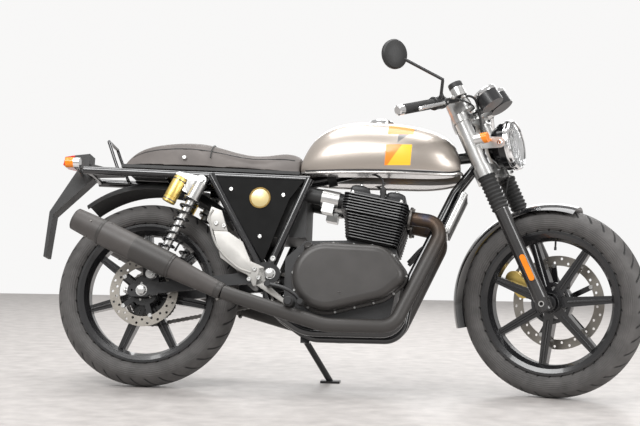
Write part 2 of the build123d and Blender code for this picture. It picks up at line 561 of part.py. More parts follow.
# Throttle bodies behind the head, rubber stubs and airbox ducts
intake_z = cylinder_height + 40
throttle = Part()
for side in (-1, 1):
    throttle += CYLINDERS * Pos(-158 - SEAT_GAP, side * PORT_Y, intake_z) * Rot(0, 90, 0) * Cylinder(30, 60)
    throttle += CYLINDERS * Pos(-160, side * PORT_Y, intake_z - 34) * Box(40, 46, 34)
chassis["throttle_bodies"] = throttle
stubs = Part()
for side in (-1, 1):
    stubs += CYLINDERS * Pos(-216 - 2 * SEAT_GAP, side * PORT_Y, intake_z) * Rot(0, 90, 0) * Cylinder(28, 56)
airbox = box(345, 558, -92, 92, 514, 690) + stubs
chassis["airbox"] = airbox - chassis["main_frame"] - chassis["rear_frame"]

# Oil cooler between the downtubes
cooler = Location((1012, 0, 640)) * Rot(0, 24, 0) * Box(34, 96, 150)
chassis["oil_cooler"] = cooler - chassis["main_frame"]

# Exhaust: a pipe and a megaphone on each side
port = (CYLINDERS * Pos(120, PORT_Y, cylinder_height + 30)).position
pipe = tube(
    [(port.X, PORT_Y, port.Z), (1036, 104, 566), (866, 134, 210), (640, 168, 206), (300, MUFFLER_Y - 6, 303)],
    [52, 70, 200], PIPE_RADIUS,
)
MUFFLER_FOOT = Vector(300, MUFFLER_Y - 6, 303)
MUFFLER_TAIL = Vector(-212, MUFFLER_Y + 4, 541)
muffler_length = (MUFFLER_TAIL - MUFFLER_FOOT).length
muffler_plane = Plane(origin=MUFFLER_FOOT, z_dir=MUFFLER_TAIL - MUFFLER_FOOT)
muffler_outline = [
    (0, SEAT_GAP), (PIPE_RADIUS + 4, SEAT_GAP), (40, 120), (52, 320), (55, 420), (55, muffler_length - 18),
    (48, muffler_length), (30, muffler_length), (30, muffler_length - 60), (0, muffler_length - 60),
]
muffler = muffler_plane * revolve(Plane.XZ * make_face(Polyline(*muffler_outline, close=True)), axis=Axis.Z)
pipes = both(pipe) - chassis["cylinder_head"] - both(muffler)
chassis["exhaust_pipes"] = pipes - chassis["engine_covers"] - chassis["crankcase"] - chassis["main_frame"]
chassis["mufflers"] = both(muffler)

# Fuel tank: sections along the machine from the seat to the steering head
TANK_SECTIONS = (
    # x, bottom, top, half width at the bottom, widest half width, shoulder half width
    (531, 744, 790, 70, 78, 52),
    (552, 741, 846, 86, 95, 62),
    (600, 738, 902, 106, 116, 78),
    (700, 737, 938, 122, 136, 92),
    (850, 736, 936, 128, 146, 98),
    (960, 734, 917, 122, 140, 92),
    (1040, 738, 880, 96, 110, 70),
    (1080, 748, 806, 72, 80, 52),
)


def tank_section(x, bottom, top, base, widest, shoulder):
    height = top - bottom
    knee = (widest, bottom + 0.42 * height)
    edge = (shoulder, bottom + 0.86 * height)
    return Plane.YZ.offset(x) * make_face(Wire([
        Line((-base, bottom), (base, bottom)),
        ThreePointArc((base, bottom), knee, edge),
        ThreePointArc(edge, (0, top), (-edge[0], edge[1])),
        ThreePointArc((-edge[0], edge[1]), (-knee[0], knee[1]), (-base, bottom)),
    ]))


tank = loft([tank_section(*row) for row in TANK_SECTIONS])
front_slope = (head_mid.Z - 778) / (head_mid.X - 760)
rear_slope = (778 - 722) / (760 - 545)
tunnel_roof = BACKBONE_RADIUS + TANK_TUNNEL_GAP
tunnel = slab([
    (500, 700), (500, 722 - 45 * rear_slope + tunnel_roof), (760, 778 + tunnel_roof),
    (1110, 778 + 350 * front_slope + tunnel_roof), (1110, 700),
], -50, 50)
CAP_X = 800
CAP_Z = 930
CAP_RADIUS = 42
chassis["fuel_tank"] = tank - tunnel - Pos(CAP_X, 0, CAP_Z + 15) * Cylinder(CAP_RADIUS + 1, 30) - chassis["cam_cover"]
cap_floor = CAP_Z + SEAT_GAP
saddles = Part()
for x, z, slope in ((630, 778 - 130 * rear_slope, rear_slope), (900, 778 + 140 * front_slope, front_slope)):
    saddle_plane = Plane(origin=(x, 0, z), z_dir=(1, 0, slope))
    saddles += saddle_plane * (Cylinder(tunnel_roof - 2, 30) - Cylinder(BACKBONE_RADIUS + SEAT_GAP, 40))
chassis["tank_saddles"] = saddles
cap["fuel_cap"] = Pos(CAP_X, 0, cap_floor + 8) * Cylinder(CAP_RADIUS, 16)

# Seat and tail


def seat_bottom(x):
    return 742 + (530 - x) * 22 / 625


SEAT_SECTIONS = (
    # x, top, half width at the bottom, half width at the top
    (529, 802, 78, 60),
    (400, 806, 100, 86),
    (260, 824, 112, 98),
    (150, 846, 116, 92),
    (20, 844, 112, 84),
    (-60, 824, 98, 66),
    (-104, 780, 80, 56),
)


def seat_section(x, top, base, crown):
    bottom = seat_bottom(x) + SEAT_GAP
    shoulder = bottom + 0.72 * (top - bottom)
    return Plane.YZ.offset(x) * make_face(Wire([
        Line((-base, bottom), (base, bottom)),
        Line((base, bottom), (crown, shoulder)),
        ThreePointArc((crown, shoulder), (0, top), (-crown, shoulder)),
        Line((-crown, shoulder), (-base, bottom)),
    ]))


chassis["seat_pad"] = loft([seat_section(*row) for row in SEAT_SECTIONS])
base_outline = [(530, 731), (530, seat_bottom(530)), (-100, seat_bottom(-100)), (-100, seat_bottom(-100) - 11)]
seat_base = slab(base_outline, -108, 108)
chassis["seat_base"] = seat_base - chassis["rear_frame"]

# Side covers between the frame tubes
cover_outline = [(236, 716), (548, 706), (500, 640), (418, 420)]
side_cover = slab(cover_outline, SIDE_TUBE_Y - 6, SIDE_TUBE_Y + 2)
chassis["side_covers"] = both(side_cover) - chassis["rear_frame"] - chassis["seat_base"]

# Rear mudguard and tail
rear_edge = REAR_GUARD_RADIUS - 34
rear_guard_face = make_face(Wire([
    ThreePointArc((rear_edge, -76), (REAR_GUARD_RADIUS, 0), (rear_edge, 76)),
    Line((rear_edge, 76), (rear_edge, 76 - GUARD_SHEET)),
    ThreePointArc((rear_edge, 76 - GUARD_SHEET), (REAR_GUARD_RADIUS - GUARD_SHEET, 0), (rear_edge, GUARD_SHEET - 76)),
    Line((rear_edge, GUARD_SHEET - 76), (rear_edge, -76)),
]))
rear_guard = Pos(6, 0, REAR_RADIUS + 2) * Rot(0, -128, 0) * revolve(rear_guard_face, axis=Axis.Y, revolution_arc=86)
chassis["rear_mudguard"] = rear_guard - chassis["rear_frame"] - chassis["swingarm"]

tail_body = slab([(-238, 762), (-238, 818), (-292, 812), (-296, 768)], -34, 34)
tail_arm = slab([(-120, 745), (-120, 757), (-240, 785), (-240, 742)], -24, 24)
tail_lens = slab([(-296 - SEAT_GAP, 768), (-292 - SEAT_GAP, 812), (-328, 806), (-334, 776)], -34, 34)
chassis["tail_light"] = tail_lens
plate_arm = slab([(-222, 728), (-240, 766), (-274, 770), (-372, 606), (-382, 444), (-372, 444), (-358, 596), (-250, 700)], -30, 30)
tail_bracket = tail_body + tail_arm + plate_arm - chassis["rear_frame"]
chassis["tail_bracket"] = tail_bracket - chassis["seat_base"] - chassis["rear_mudguard"]
stalks = both(rod((-262, 20, 740), (-262, 110, 762), 6) + Pos(-270, 122, 764) * Rot(0, 90, 0) * Cylinder(18, 50))
chassis["rear_indicators"] = stalks - chassis["tail_bracket"] - chassis["rear_frame"]

# Foot hangers and controls
hanger_y = SIDE_TUBE_Y + 16 + SEAT_GAP
hanger_outline = [(240, 602), (270, 606), (318, 520), (392, 404), (440, 392), (440, 356), (352, 380), (262, 472), (240, 520)]
hanger = slab(hanger_outline, hanger_y, hanger_y + 9)
peg = rod((430, hanger_y + 9, 372), (430, hanger_y + 95, 372), 13)
pillion_peg = rod((159, hanger_y + 18, 464), (67, hanger_y + 18, 543), 11)
chassis["foot_hangers"] = both(hanger) - chassis["shock_springs"] - chassis["shock_reservoirs"]
pedal = rod((430, -hanger_y - 20, 352), (560, -hanger_y - 26, 306), 8) + rod(
    (560, -hanger_y - 26, 306), (566, -hanger_y - 62, 292), 9)
gear = rod((430, hanger_y + 20, 352), (560, hanger_y + 26, 322), 7) + rod(
    (560, hanger_y + 26, 322), (566, hanger_y + 62, 322), 9)
controls = both(peg) + pedal + gear - chassis["exhaust_pipes"] - chassis["engine_covers"]
chassis["pegs_and_pedals"] = controls - chassis["mufflers"]

rear_caliper = side_hull([(92, REAR_RADIUS + 66, 26), (66, REAR_RADIUS + 92, 26)], REAR_DISC_Y - 16, REAR_DISC_Y + 22)
rear_caliper -= box(-400, 400, REAR_DISC_Y - CALIPER_SLOT / 2, REAR_DISC_Y + CALIPER_SLOT / 2, 0, 700)
rear_caliper += side_hull([(92, REAR_RADIUS + 66, 12), (66, REAR_RADIUS + 112, 10)], REAR_DISC_Y - 16, REAR_DISC_Y + 22)
rear_caliper += side_hull([(92, REAR_RADIUS + 66, 14), (112, REAR_RADIUS + 18, 12)],
                          -ARM_Y + ARM_HALF + SEAT_GAP, -ARM_Y + ARM_HALF + 7)
chassis["rear_caliper"] = rear_caliper - REAR_AXLE * Pos(0, REAR_DISC_Y, 0) * Rot(90, 0, 0) * Cylinder(
    REAR_DISC_RADIUS + 5, CALIPER_SLOT) - chassis["swingarm"]

# Chain: one loop round both sprockets
outer = [(0, REAR_RADIUS, REAR_SPROCKET_RADIUS + CHAIN_HEIGHT / 2),
         (FRONT_SPROCKET_X, FRONT_SPROCKET_Z, FRONT_SPROCKET_RADIUS + CHAIN_HEIGHT / 2)]
inner = [(0, REAR_RADIUS, REAR_SPROCKET_RADIUS - CHAIN_HEIGHT / 2),
         (FRONT_SPROCKET_X, FRONT_SPROCKET_Z, FRONT_SPROCKET_RADIUS - CHAIN_HEIGHT / 2)]
chain = side_hull(outer, CHAIN_Y - CHAIN_WIDTH / 2, CHAIN_Y + CHAIN_WIDTH / 2)
chain -= side_hull(inner, CHAIN_Y - CHAIN_WIDTH, CHAIN_Y + CHAIN_WIDTH)
chassis["drive_chain"] = chain

# Side stand: a leg from its pivot under the left of the frame to a foot on the floor
to_floor = PARKED.inverse() * Location((STAND_FOOT_X, STAND_FOOT_Y, 4))
foot_point = to_floor.position
leg = rod(STAND_PIVOT, tuple(foot_point), STAND_LEG_RADIUS) + Pos(*STAND_PIVOT) * Sphere(STAND_LEG_RADIUS + 1)
foot = to_floor * Box(70, 44, 8)
leg -= to_floor * Pos(0, 0, -54) * Box(200, 200, 100)
stand["side_stand"] = leg + foot

PARKED_FORK = PARKED * TURNED_FORK
bodies = (
    ("chassis", chassis, PARKED),
    ("steering", steering, PARKED_FORK),
    ("front_wheel", front_wheel, PARKED_FORK),
    ("rear_wheel", rear_wheel, PARKED),
    ("side_stand", stand, PARKED),
    ("fuel_cap", cap, PARKED),
)
placed = {}
for body, pieces, location in bodies:
    for name, shape in pieces.items():
        placed[name] = location * shape

# The finished frame's origin is the middle of the bounding box's base.
whole = Compound(children=[Compound(shape.solids()) for shape in placed.values()]).bounding_box()
TO_ORIGIN = Pos(-(whole.min.X + whole.max.X) / 2, -(whole.min.Y + whole.max.Y) / 2, 0)
os.makedirs("parts", exist_ok=True)
for name, shape in placed.items():
    export_step(TO_ORIGIN * Compound(shape.solids()), f"parts/{name}.step")
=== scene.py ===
import json
from cmath import phase, rect
from math import atan2, cos, degrees, pi, radians, sin, sqrt

import bmesh
import bpy
from mathutils import Matrix, Vector


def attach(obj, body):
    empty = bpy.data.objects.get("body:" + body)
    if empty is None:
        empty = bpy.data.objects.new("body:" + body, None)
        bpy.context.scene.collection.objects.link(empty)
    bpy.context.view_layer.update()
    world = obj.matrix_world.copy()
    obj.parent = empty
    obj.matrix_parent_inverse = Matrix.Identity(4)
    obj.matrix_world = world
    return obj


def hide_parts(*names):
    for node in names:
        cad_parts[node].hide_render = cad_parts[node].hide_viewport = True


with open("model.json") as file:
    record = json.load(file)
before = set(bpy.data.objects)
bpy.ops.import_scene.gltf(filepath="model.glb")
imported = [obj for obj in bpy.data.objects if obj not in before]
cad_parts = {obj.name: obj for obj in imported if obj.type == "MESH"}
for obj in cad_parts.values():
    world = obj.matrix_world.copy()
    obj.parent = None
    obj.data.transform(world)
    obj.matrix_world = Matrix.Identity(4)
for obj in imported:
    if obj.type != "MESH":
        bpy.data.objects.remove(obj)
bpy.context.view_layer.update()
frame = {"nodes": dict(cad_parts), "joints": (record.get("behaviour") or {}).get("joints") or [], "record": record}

# Sizes in millimetres, in the frames of the upright machine, its fork and its cylinders.
# Upright machine: origin on the floor below the rear axle, +X forward, +Y left, +Z up.
REAR_RADIUS = 319.5
FRONT_RADIUS = 318.5
LEG_Y = 102
LOWER_YOKE = 488
TOP_YOKE = 690
BAR_ROOT = Vector((40, 112, 750))
BAR_END = Vector((-84, 372, 740))
HEADLIGHT_X = 112
HEADLIGHT_Z = 544
HEADLIGHT_TILT = 16
HEADLIGHT_RADIUS = 86
CYLINDER_X = 770
CYLINDER_Z = 497
CYLINDER_TILT = 11
SHOCK_FOOT = (38, 371.5)
SHOCK_TOP = (196, 700)
SHOCK_Y = 137
MUFFLER_FOOT = Vector((300, 216, 303))
MUFFLER_TAIL = Vector((-212, 226, 541))
COVER_FLANGE = 117
SIDE_COVER_Y = 126
HANGER_OUT = 149.3
PEG_RIBS = 9
MM = 0.001

# The camera, fitted to both wheels in the photograph
IMAGE_WIDTH = 640
FOCAL_PIXELS = 1324.4
SENSOR = 36.0
CAMERA_AIM = Vector((0.6064, -0.0637, 0.2950))  # from the rear axle
CAMERA_AZIMUTH = radians(6.56)
CAMERA_ELEVATION = radians(-0.31)
CAMERA_ROLL = radians(-0.92)
CAMERA_DISTANCE = 4.509

joints = {joint["name"]: joint for joint in frame["joints"]}
mounts = {mount["name"]: mount for mount in frame["record"]["mounts"]}


def axes(origin, x, y):
    """A frame from its origin and two of its directions."""
    x, y = x.normalized(), y.normalized()
    z = x.cross(y).normalized()
    x = y.cross(z)
    return Matrix.Translation(origin) @ Matrix((x, y, z)).transposed().to_4x4()


def bike_frame():
    axle = Vector(joints["rear_wheel"]["pos_m"])
    across = Vector(joints["rear_wheel"]["axis"])
    spools = (Vector(mounts["left_stand_spool"]["pos_m"]) + Vector(mounts["right_stand_spool"]["pos_m"])) / 2
    upright = axes(axle, axle - spools, across)
    return upright @ moved(0, 0, -REAR_RADIUS)


def fork_frame():
    across = Vector(joints["front_wheel"]["axis"])
    up = Vector(joints["steering"]["axis"])
    return axes(Vector(joints["front_wheel"]["pos_m"]), across.cross(up), across)


def moved(x, y, z):
    return Matrix.Translation((x * MM, y * MM, z * MM))


def at(x, y, z):
    """A shift in millimetres, inside a form."""
    return Matrix.Translation((x, y, z))


def mirrored(point, side):
    """A place on the left, or its twin on the right for side -1."""
    return Vector((point[0], side * point[1], point[2]))


def show(name, data):
    """A new object in the scene."""
    made = bpy.data.objects.new(name, data)
    bpy.context.scene.collection.objects.link(made)
    return made


def turned(degrees_about_y):
    return Matrix.Rotation(radians(degrees_about_y), 4, "Y")


BIKE = bike_frame()
FORK = fork_frame()
REAR_AXLE = BIKE @ moved(0, 0, REAR_RADIUS)
CYLINDERS = BIKE @ moved(CYLINDER_X, 0, CYLINDER_Z) @ turned(CYLINDER_TILT)
COOLER = BIKE @ moved(1031.7, 0, 628) @ turned(degrees(atan2(145, 318))) @ moved(32.3, 0, 0)
LAMP = FORK @ moved(HEADLIGHT_X, 0, HEADLIGHT_Z) @ turned(90 + HEADLIGHT_TILT)


# Camera

def make_camera():
    data = bpy.data.cameras.new("camera")
    data.sensor_width = SENSOR
    data.lens = FOCAL_PIXELS * SENSOR / IMAGE_WIDTH
    camera = show("camera", data)
    target = Vector(joints["rear_wheel"]["pos_m"]) + CAMERA_AIM
    flat = cos(CAMERA_ELEVATION)
    back = Vector((sin(CAMERA_AZIMUTH) * flat, -cos(CAMERA_AZIMUTH) * flat, sin(CAMERA_ELEVATION)))
    right = (-back).cross(Vector((0, 0, 1))).normalized()
    roll = Matrix.Rotation(CAMERA_ROLL, 3, -back)
    right = roll @ right
    up = back.cross(right)
    camera.matrix_world = Matrix.Translation(target + back * CAMERA_DISTANCE) @ Matrix(
        (right, up, back)).transposed().to_4x4()
    bpy.context.scene.camera = camera


# Materials

class Value:
    """A number that a material works out, open to plain arithmetic."""

    def __init__(self, shade, socket):
        self.shade, self.socket = shade, socket

    def __add__(self, other):
        return self.shade.math("ADD", self, other)

    def __sub__(self, other):
        return self.shade.math("SUBTRACT", self, other)

    def __mul__(self, other):
        return self.shade.math("MULTIPLY", self, other)

    def __abs__(self):
        return self.shade.math("ABSOLUTE", self)


class Shade:
    """A material with a Principled shader, and short ways to add nodes to it."""

    def __init__(self, name):
        self.material = bpy.data.materials.new(name)
        self.material.use_nodes = True
        self.tree = self.material.node_tree
        self.shader = self.tree.nodes["Principled BSDF"]

    def add(self, kind, **values):
        node = self.tree.nodes.new(kind)
        for key, value in values.items():
            if hasattr(node, key):
                setattr(node, key, value)
            else:
                node.inputs[key.replace("_", " ")].default_value = value
        return node

    def link(self, source, target):
        self.tree.links.new(source.socket if isinstance(source, Value) else source, target)

    def set(self, **values):
        for key, value in values.items():
            self.shader.inputs[key.replace("_", " ")].default_value = value
        return self

    def feed(self, **sources):
        for key, source in sources.items():
            self.link(source, self.shader.inputs[key.replace("_", " ")])
        return self

    def where(self):
        """Places in the row frame, because every mesh keeps its place in its vertices."""
        return self.add("ShaderNodeTexCoord").outputs["Object"]

    def along(self, place, axis):
        """Millimetres along one axis of a frame."""
        direction = place.to_3x3().col[axis].normalized()
        dot = self.add("ShaderNodeVectorMath", operation="DOT_PRODUCT")
        self.link(self.where(), dot.inputs[0])
        dot.inputs[1].default_value = direction
        return (Value(self, dot.outputs["Value"]) - direction.dot(place.translation)) * 1000.0

    def noise(self, scale, detail=4.0):
        node = self.add("ShaderNodeTexNoise", Scale=scale, Detail=detail)
        self.link(self.where(), node.inputs["Vector"])
        return Value(self, node.outputs["Fac"])

    def ramp(self, source, stops):
        node = self.add("ShaderNodeValToRGB")
        while len(node.color_ramp.elements) < len(stops):
            node.color_ramp.elements.new(0.5)
        for element, (position, colour) in zip(node.color_ramp.elements, stops):
            element.position = position
            element.color = (*colour, 1)
        self.link(source, node.inputs["Fac"])
        return node.outputs["Color"]

    def spread(self, source, low, high, start=0.0, end=1.0):
        """Maps start..end to low..high, held at the ends."""
        node = self.add("ShaderNodeMapRange")
        for key, value in (("From Min", start), ("From Max", end), ("To Min", low), ("To Max", high)):
            node.inputs[key].default_value = value
        self.link(source, node.inputs["Value"])
        return Value(self, node.outputs["Result"])

    def math(self, operation, a, b=None):
        node = self.add("ShaderNodeMath", operation=operation)
        for socket, value in zip(node.inputs, (a, b)):
            if value is None:
                continue
            if isinstance(value, (int, float)):
                socket.default_value = value
            else:
                self.link(value, socket)
        return Value(self, node.outputs["Value"])

    def between(self, value, low, high, blur=0.6):
        """1 where a value lies between two limits, with soft edges."""
        rising = self.spread(value, 0.0, 1.0, low - blur, low + blur)
        falling = self.spread(value, 1.0, 0.0, high - blur, high + blur)
        return rising * falling

    def either(self, *masks):
        result = masks[0]
        for mask in masks[1:]:
            result = self.math("MAXIMUM", result, mask)
        return result

    def mix(self, factor, a, b):
        node = self.add("ShaderNodeMix", data_type="RGBA")
        sockets = {s.identifier: s for s in node.inputs}
        for key, value in (("Factor_Float", factor), ("A_Color", a), ("B_Color", b)):
            if isinstance(value, (int, float)):
                sockets[key].default_value = value
            elif isinstance(value, tuple):
                sockets[key].default_value = (*value, 1)
            else:
                self.link(value, sockets[key])
        return next(s for s in node.outputs if s.identifier == "Result_Color")

    def blend(self, factor, a, b):
        """A number between a and b."""
        return factor * (b - a) + a

    def cloudy(self, colour, scale=14.0, depth=0.16):
        """A colour that varies a little over the surface."""
        dark = tuple(c * (1 - depth) for c in colour)
        light = tuple(min(1.0, c * (1 + depth * 0.7) + 0.001) for c in colour)
        return self.ramp(self.noise(scale), ((0.3, dark), (0.7, light)))

    def bump(self, height, strength, distance):
        node = self.add("ShaderNodeBump")
        node.inputs["Strength"].default_value = strength
        node.inputs["Distance"].default_value = distance
        self.link(height, node.inputs["Height"])
        self.link(node.outputs["Normal"], self.shader.inputs["Normal"])


def painted(name, colour, roughness, coat=0.0, metallic=0.0, grain=900.0, depth=0.0, worn=0.12, shine=0.5):
    """Paint or coated metal: a little cloud in its colour and roughness, and a fine grain."""
    shade = Shade(name)
    shade.set(Metallic=metallic, Coat_Weight=coat, Coat_Roughness=0.05, Specular_IOR_Level=shine)
    fine = shade.noise(grain, 2.0)
    smudge = shade.noise(30.0, 6.0)
    rough = fine * 0.4 + smudge * 0.6
    shade.feed(Base_Color=shade.cloudy(colour))
    shade.feed(Roughness=shade.spread(rough, roughness * (1 - worn), roughness * (1 + worn), 0.3, 0.7))
    if depth:
        shade.bump(fine, 0.5, depth)
    return shade


def two_tone(name, mask_of, first, second, depth=0.0):
    """Two finishes (colour, roughness, metallic) on one piece, parted by a mask."""
    shade = Shade(name)
    mask = mask_of(shade)
    uneven = shade.spread(shade.noise(40.0), -0.04, 0.04)
    shade.feed(
        Base_Color=shade.mix(mask, shade.cloudy(first[0]), shade.cloudy(second[0])),
        Roughness=shade.blend(mask, first[1], second[1]) + uneven,
        Metallic=shade.blend(mask, first[2], second[2]),
    )
    if depth:
        shade.bump(shade.noise(900.0, 2.0), 0.5, depth)
    return shade


def lens(name, colour, transmission):
    shade = painted(name, colour, 0.1, coat=0.7)
    shade.set(Transmission_Weight=transmission, IOR=1.49)
    flutes = shade.add("ShaderNodeTexWave", Scale=55.0)
    shade.link(shade.where(), flutes.inputs["Vector"])
    shade.bump(flutes.outputs["Fac"], 0.25, 0.0008)
    return shade


# The coloured blocks and the grey stripe of the tank, and its warm silver
BAND_BACK = 829
BAND_FRONT = 917
BAND_LEAN = 0.07
UPPER_BLOCK_LOW = 872
LOWER_BLOCK_TOP = 832
SEAM_LIP_TOP = 748
SPLIT_FOOT = 766
SPLIT_RUN = 0.62
SPLIT_AT = 842
STRIPE_LOW = 842
STRIPE_TOP = 873
STRIPE_START = 870
STRIPE_RISE = 0.95
BEYOND = 2000.0
SILVER = (0.40, 0.355, 0.315)
GREY_BAND = (0.17, 0.165, 0.165)
ORANGE = (0.92, 0.24, 0.012)
YELLOW = (0.95, 0.53, 0.03)


def tank_paint():
    shade = Shade("tank_silver")
    x = shade.along(BIKE, 0)
    z = shade.along(BIKE, 2)
    u = x - (z - SPLIT_AT) * BAND_LEAN
    band = shade.between(u, BAND_BACK, BAND_FRONT)
    upper = band * shade.between(z, UPPER_BLOCK_LOW, BEYOND)
    lower = band * shade.between(z, SEAM_LIP_TOP + 12, LOWER_BLOCK_TOP)
    slant = u - (z - SPLIT_FOOT) * SPLIT_RUN
    split = shade.between(slant, SPLIT_AT, BEYOND)
    orange_yellow = shade.mix(split, ORANGE, YELLOW)
    rise = z - (u - STRIPE_START) * STRIPE_RISE
    stripe = shade.between(rise, STRIPE_LOW, STRIPE_TOP) * shade.between(u, STRIPE_START - 4, 1010.0)
    ahead = shade.between(u, BAND_FRONT, BEYOND) * shade.between(rise, STRIPE_LOW, STRIPE_TOP)
    flakes = shade.noise(2600.0, 1.0)
    dark, light = (tuple(c * share for c in SILVER) for share in (0.9, 1.1))
    silver = shade.ramp(flakes, ((0.3, dark), (0.7, light)))
    colour = shade.mix(shade.either(stripe, ahead), silver, GREY_BAND)
    colour = shade.mix(shade.either(upper, lower), colour, orange_yellow)
    lip = shade.spread(z, 1.0, 0.0, SEAM_LIP_TOP - 2, SEAM_LIP_TOP)
    colour = shade.mix(lip, colour, (0.72, 0.71, 0.70))
    solid = shade.either(upper, lower)
    shade.feed(Base_Color=colour, Metallic=shade.blend(solid, 0.62, 0.0))
    shade.feed(Roughness=shade.blend(lip, 0.34, 0.2))
    shade.set(Coat_Weight=0.55, Coat_Roughness=0.1)
    return shade


TREAD_GROOVES = 38
TREAD_SLANT = 1.15


def tyre_rubber(name, place, half, radius):
    """Rubber with slanting grooves round the crown and fine rings on the walls, with painted shade inside the
    grooves.
    """
    shade = Shade(name)
    x, y, z = (shade.along(place, axis) for axis in range(3))
    reach = shade.math("SQRT", x * x + z * z)
    angle = shade.math("ARCTAN2", z, x)
    width = abs(shade.math("DIVIDE", y, half))
    swept = angle * (TREAD_GROOVES / (2 * pi)) + width * TREAD_SLANT
    groove = shade.math("FRACT", swept + shade.math("SIGN", y) * 0.25)
    cut = shade.between(groove, 0.42, 0.56, 0.04) * shade.between(width, 0.12, 0.80, 0.03)
    centre = shade.between(y, -2.2, 2.2, 0.5)
    grooves = shade.either(cut, centre)
    rings = shade.math("FRACT", reach * 0.16)
    wall = shade.between(reach, 244.0, radius - 28.0, 2.0)
    fine = shade.between(rings, 0.35, 0.65, 0.1) * wall * 0.22
    shade.bump(fine - grooves + shade.noise(1500.0, 2.0) * 0.06, 1.0, 0.004)
    dusty = shade.cloudy((0.082, 0.078, 0.076), 20.0, 0.25)
    # The grooves are painted near black: painted shade in the recesses of the tread.
    shade.feed(Base_Color=shade.mix(grooves, dusty, (0.008, 0.008, 0.008)))
    shade.feed(Roughness=shade.spread(shade.noise(60.0), 0.55, 0.75, 0.3, 0.7))
    return shade


def fin_edges(shade):
    """The machined edges of the fins, bright against their black coat."""
    y = abs(shade.along(CYLINDERS, 1))
    z = shade.along(CYLINDERS, 2)
    low = shade.between(y, 141.4, 144.0, 0.2) * shade.between(z, -5.0, 86.0)
    high = shade.between(y, 152.4, 155.0, 0.2) * shade.between(z, 86.0, 154.0)
    return shade.either(low, high)


HEAT_TINT = ((0.0, (0.043, 0.040, 0.038)), (0.6, (0.055, 0.040, 0.030)), (0.85, (0.075, 0.050, 0.035)),
             (1.0, (0.05, 0.05, 0.07)))


def heat_tinted():
    """Black pipes that turn bronze and blue near the ports."""
    shade = Shade("exhaust_black")
    x = shade.along(BIKE, 0)
    z = shade.along(BIKE, 2)
    near = shade.spread(z, 0.0, 1.0, 430.0, 570.0) * shade.spread(x, 0.0, 1.0, 860.0, 920.0)
    ragged = near * shade.spread(shade.noise(18.0), 0.55, 1.0, 0.3, 0.7)
    tint = shade.ramp(ragged, HEAT_TINT)
    shade.feed(Base_Color=tint, Metallic=shade.blend(near, 0.15, 0.7))
    shade.feed(Roughness=shade.spread(shade.noise(700.0, 2.0), 0.42, 0.54, 0.3, 0.7))
    shade.bump(shade.noise(1100.0, 2.0), 0.4, 0.0001)
    return shade


def past(shade, place, limit, flip=1):
    """1 where a piece reaches past a limit along X."""
    return shade.spread(shade.along(place, 0) * flip, 0.0, 1.0, limit - 0.3, limit + 0.3)


def front_ambers(shade):
    """The lenses of the indicators and the reflectors low on the fork."""
    low = shade.spread(shade.along(FORK, 2), 1.0, 0.0, 250.0, 251.0)
    return shade.either(past(shade, FORK, 62.0), low)


def rear_ambers(shade):
    return past(shade, BIKE, 266.0, -1)


def clamp_zone(shade):
    """The polished clamps of the bars, next to the fork tubes."""
    return shade.spread(abs(shade.along(FORK, 1)), 1.0, 0.0, 136.0, 136.6)


def lamp_rim(shade):
    return shade.spread(shade.along(LAMP, 2), 0.0, 1.0, -16.6, -16.2)


ALLOY = ((0.66, 0.66, 0.65), 0.3, 0.95)
FIN_EDGE = ((0.16, 0.16, 0.16), 0.45, 0.6)
CHROME = ((0.80, 0.80, 0.80), 0.08, 1.0)
BLACK = ((0.012, 0.012, 0.013), 0.3, 0.0)
AMBER = ((0.90, 0.25, 0.01), 0.16, 0.0)

# Colour, roughness and what else differs from plain paint
PAINTS = {
    "gloss_black": ((0.009, 0.009, 0.010), 0.16, {"coat": 0.85}),
    "satin_black": ((0.014, 0.014, 0.015), 0.34, {"coat": 0.15}),
    "engine_black": ((0.020, 0.020, 0.021), 0.40, {"depth": 0.0002}),
    "cover_grey": ((0.050, 0.047, 0.045), 0.40, {"metallic": 0.2, "depth": 0.00015}),
    "muffler_black": ((0.062, 0.056, 0.053), 0.50, {"depth": 0.0001}),
    "bright_alloy": ((0.62, 0.62, 0.61), 0.30, {"metallic": 0.92, "depth": 0.00005}),
    "brass_ring": ((0.20, 0.13, 0.04), 0.35, {"metallic": 0.8}),
    "cast_alloy": ((0.42, 0.41, 0.39), 0.46, {"metallic": 0.6, "depth": 0.0002}),
    "bright_lip": ((0.70, 0.68, 0.66), 0.22, {"metallic": 0.85}),
    "disc_steel": ((0.30, 0.28, 0.25), 0.42, {"metallic": 0.85, "grain": 300.0}),
    "chain_steel": ((0.2, 0.19, 0.18), 0.38, {"metallic": 0.9}),
    "gold": ((0.80, 0.58, 0.17), 0.34, {"metallic": 0.8}),
    "seat_black": ((0.108, 0.094, 0.087), 0.62, {"grain": 700.0, "depth": 0.0004, "worn": 0.08}),
    "black_plastic": ((0.017, 0.017, 0.017), 0.5, {"grain": 1300.0, "depth": 0.00015}),
    "rubber": ((0.020, 0.020, 0.020), 0.6, {"depth": 0.0001}),
    "chrome": (CHROME[0], 0.08, {"metallic": 1.0, "worn": 0.3}),
    "cream": ((0.62, 0.50, 0.24), 0.3, {"coat": 0.4, "metallic": 0.3}),
    "dial": ((0.012, 0.012, 0.013), 0.5, {}),
    "white_mark": ((0.85, 0.85, 0.82), 0.5, {}),
    "mirror_glass": ((0.75, 0.78, 0.80), 0.03, {"metallic": 1.0}),
}
LOOKS = {name: painted(name, colour, roughness, **more) for name, (colour, roughness, more) in PAINTS.items()}
LOOKS.update({
    "exhaust_black": heat_tinted(),
    "tank_silver": tank_paint(),
    "red_lens": lens("red_lens", (0.70, 0.012, 0.010), 0.25),
    "amber_lens": lens("amber_lens", (0.90, 0.25, 0.010), 0.2),
    "clear_lens": lens("clear_lens", (0.93, 0.95, 0.97), 0.95),
    "glass": painted("glass", (0.95, 0.96, 0.98), 0.03).set(Transmission_Weight=1.0, IOR=1.45),
})
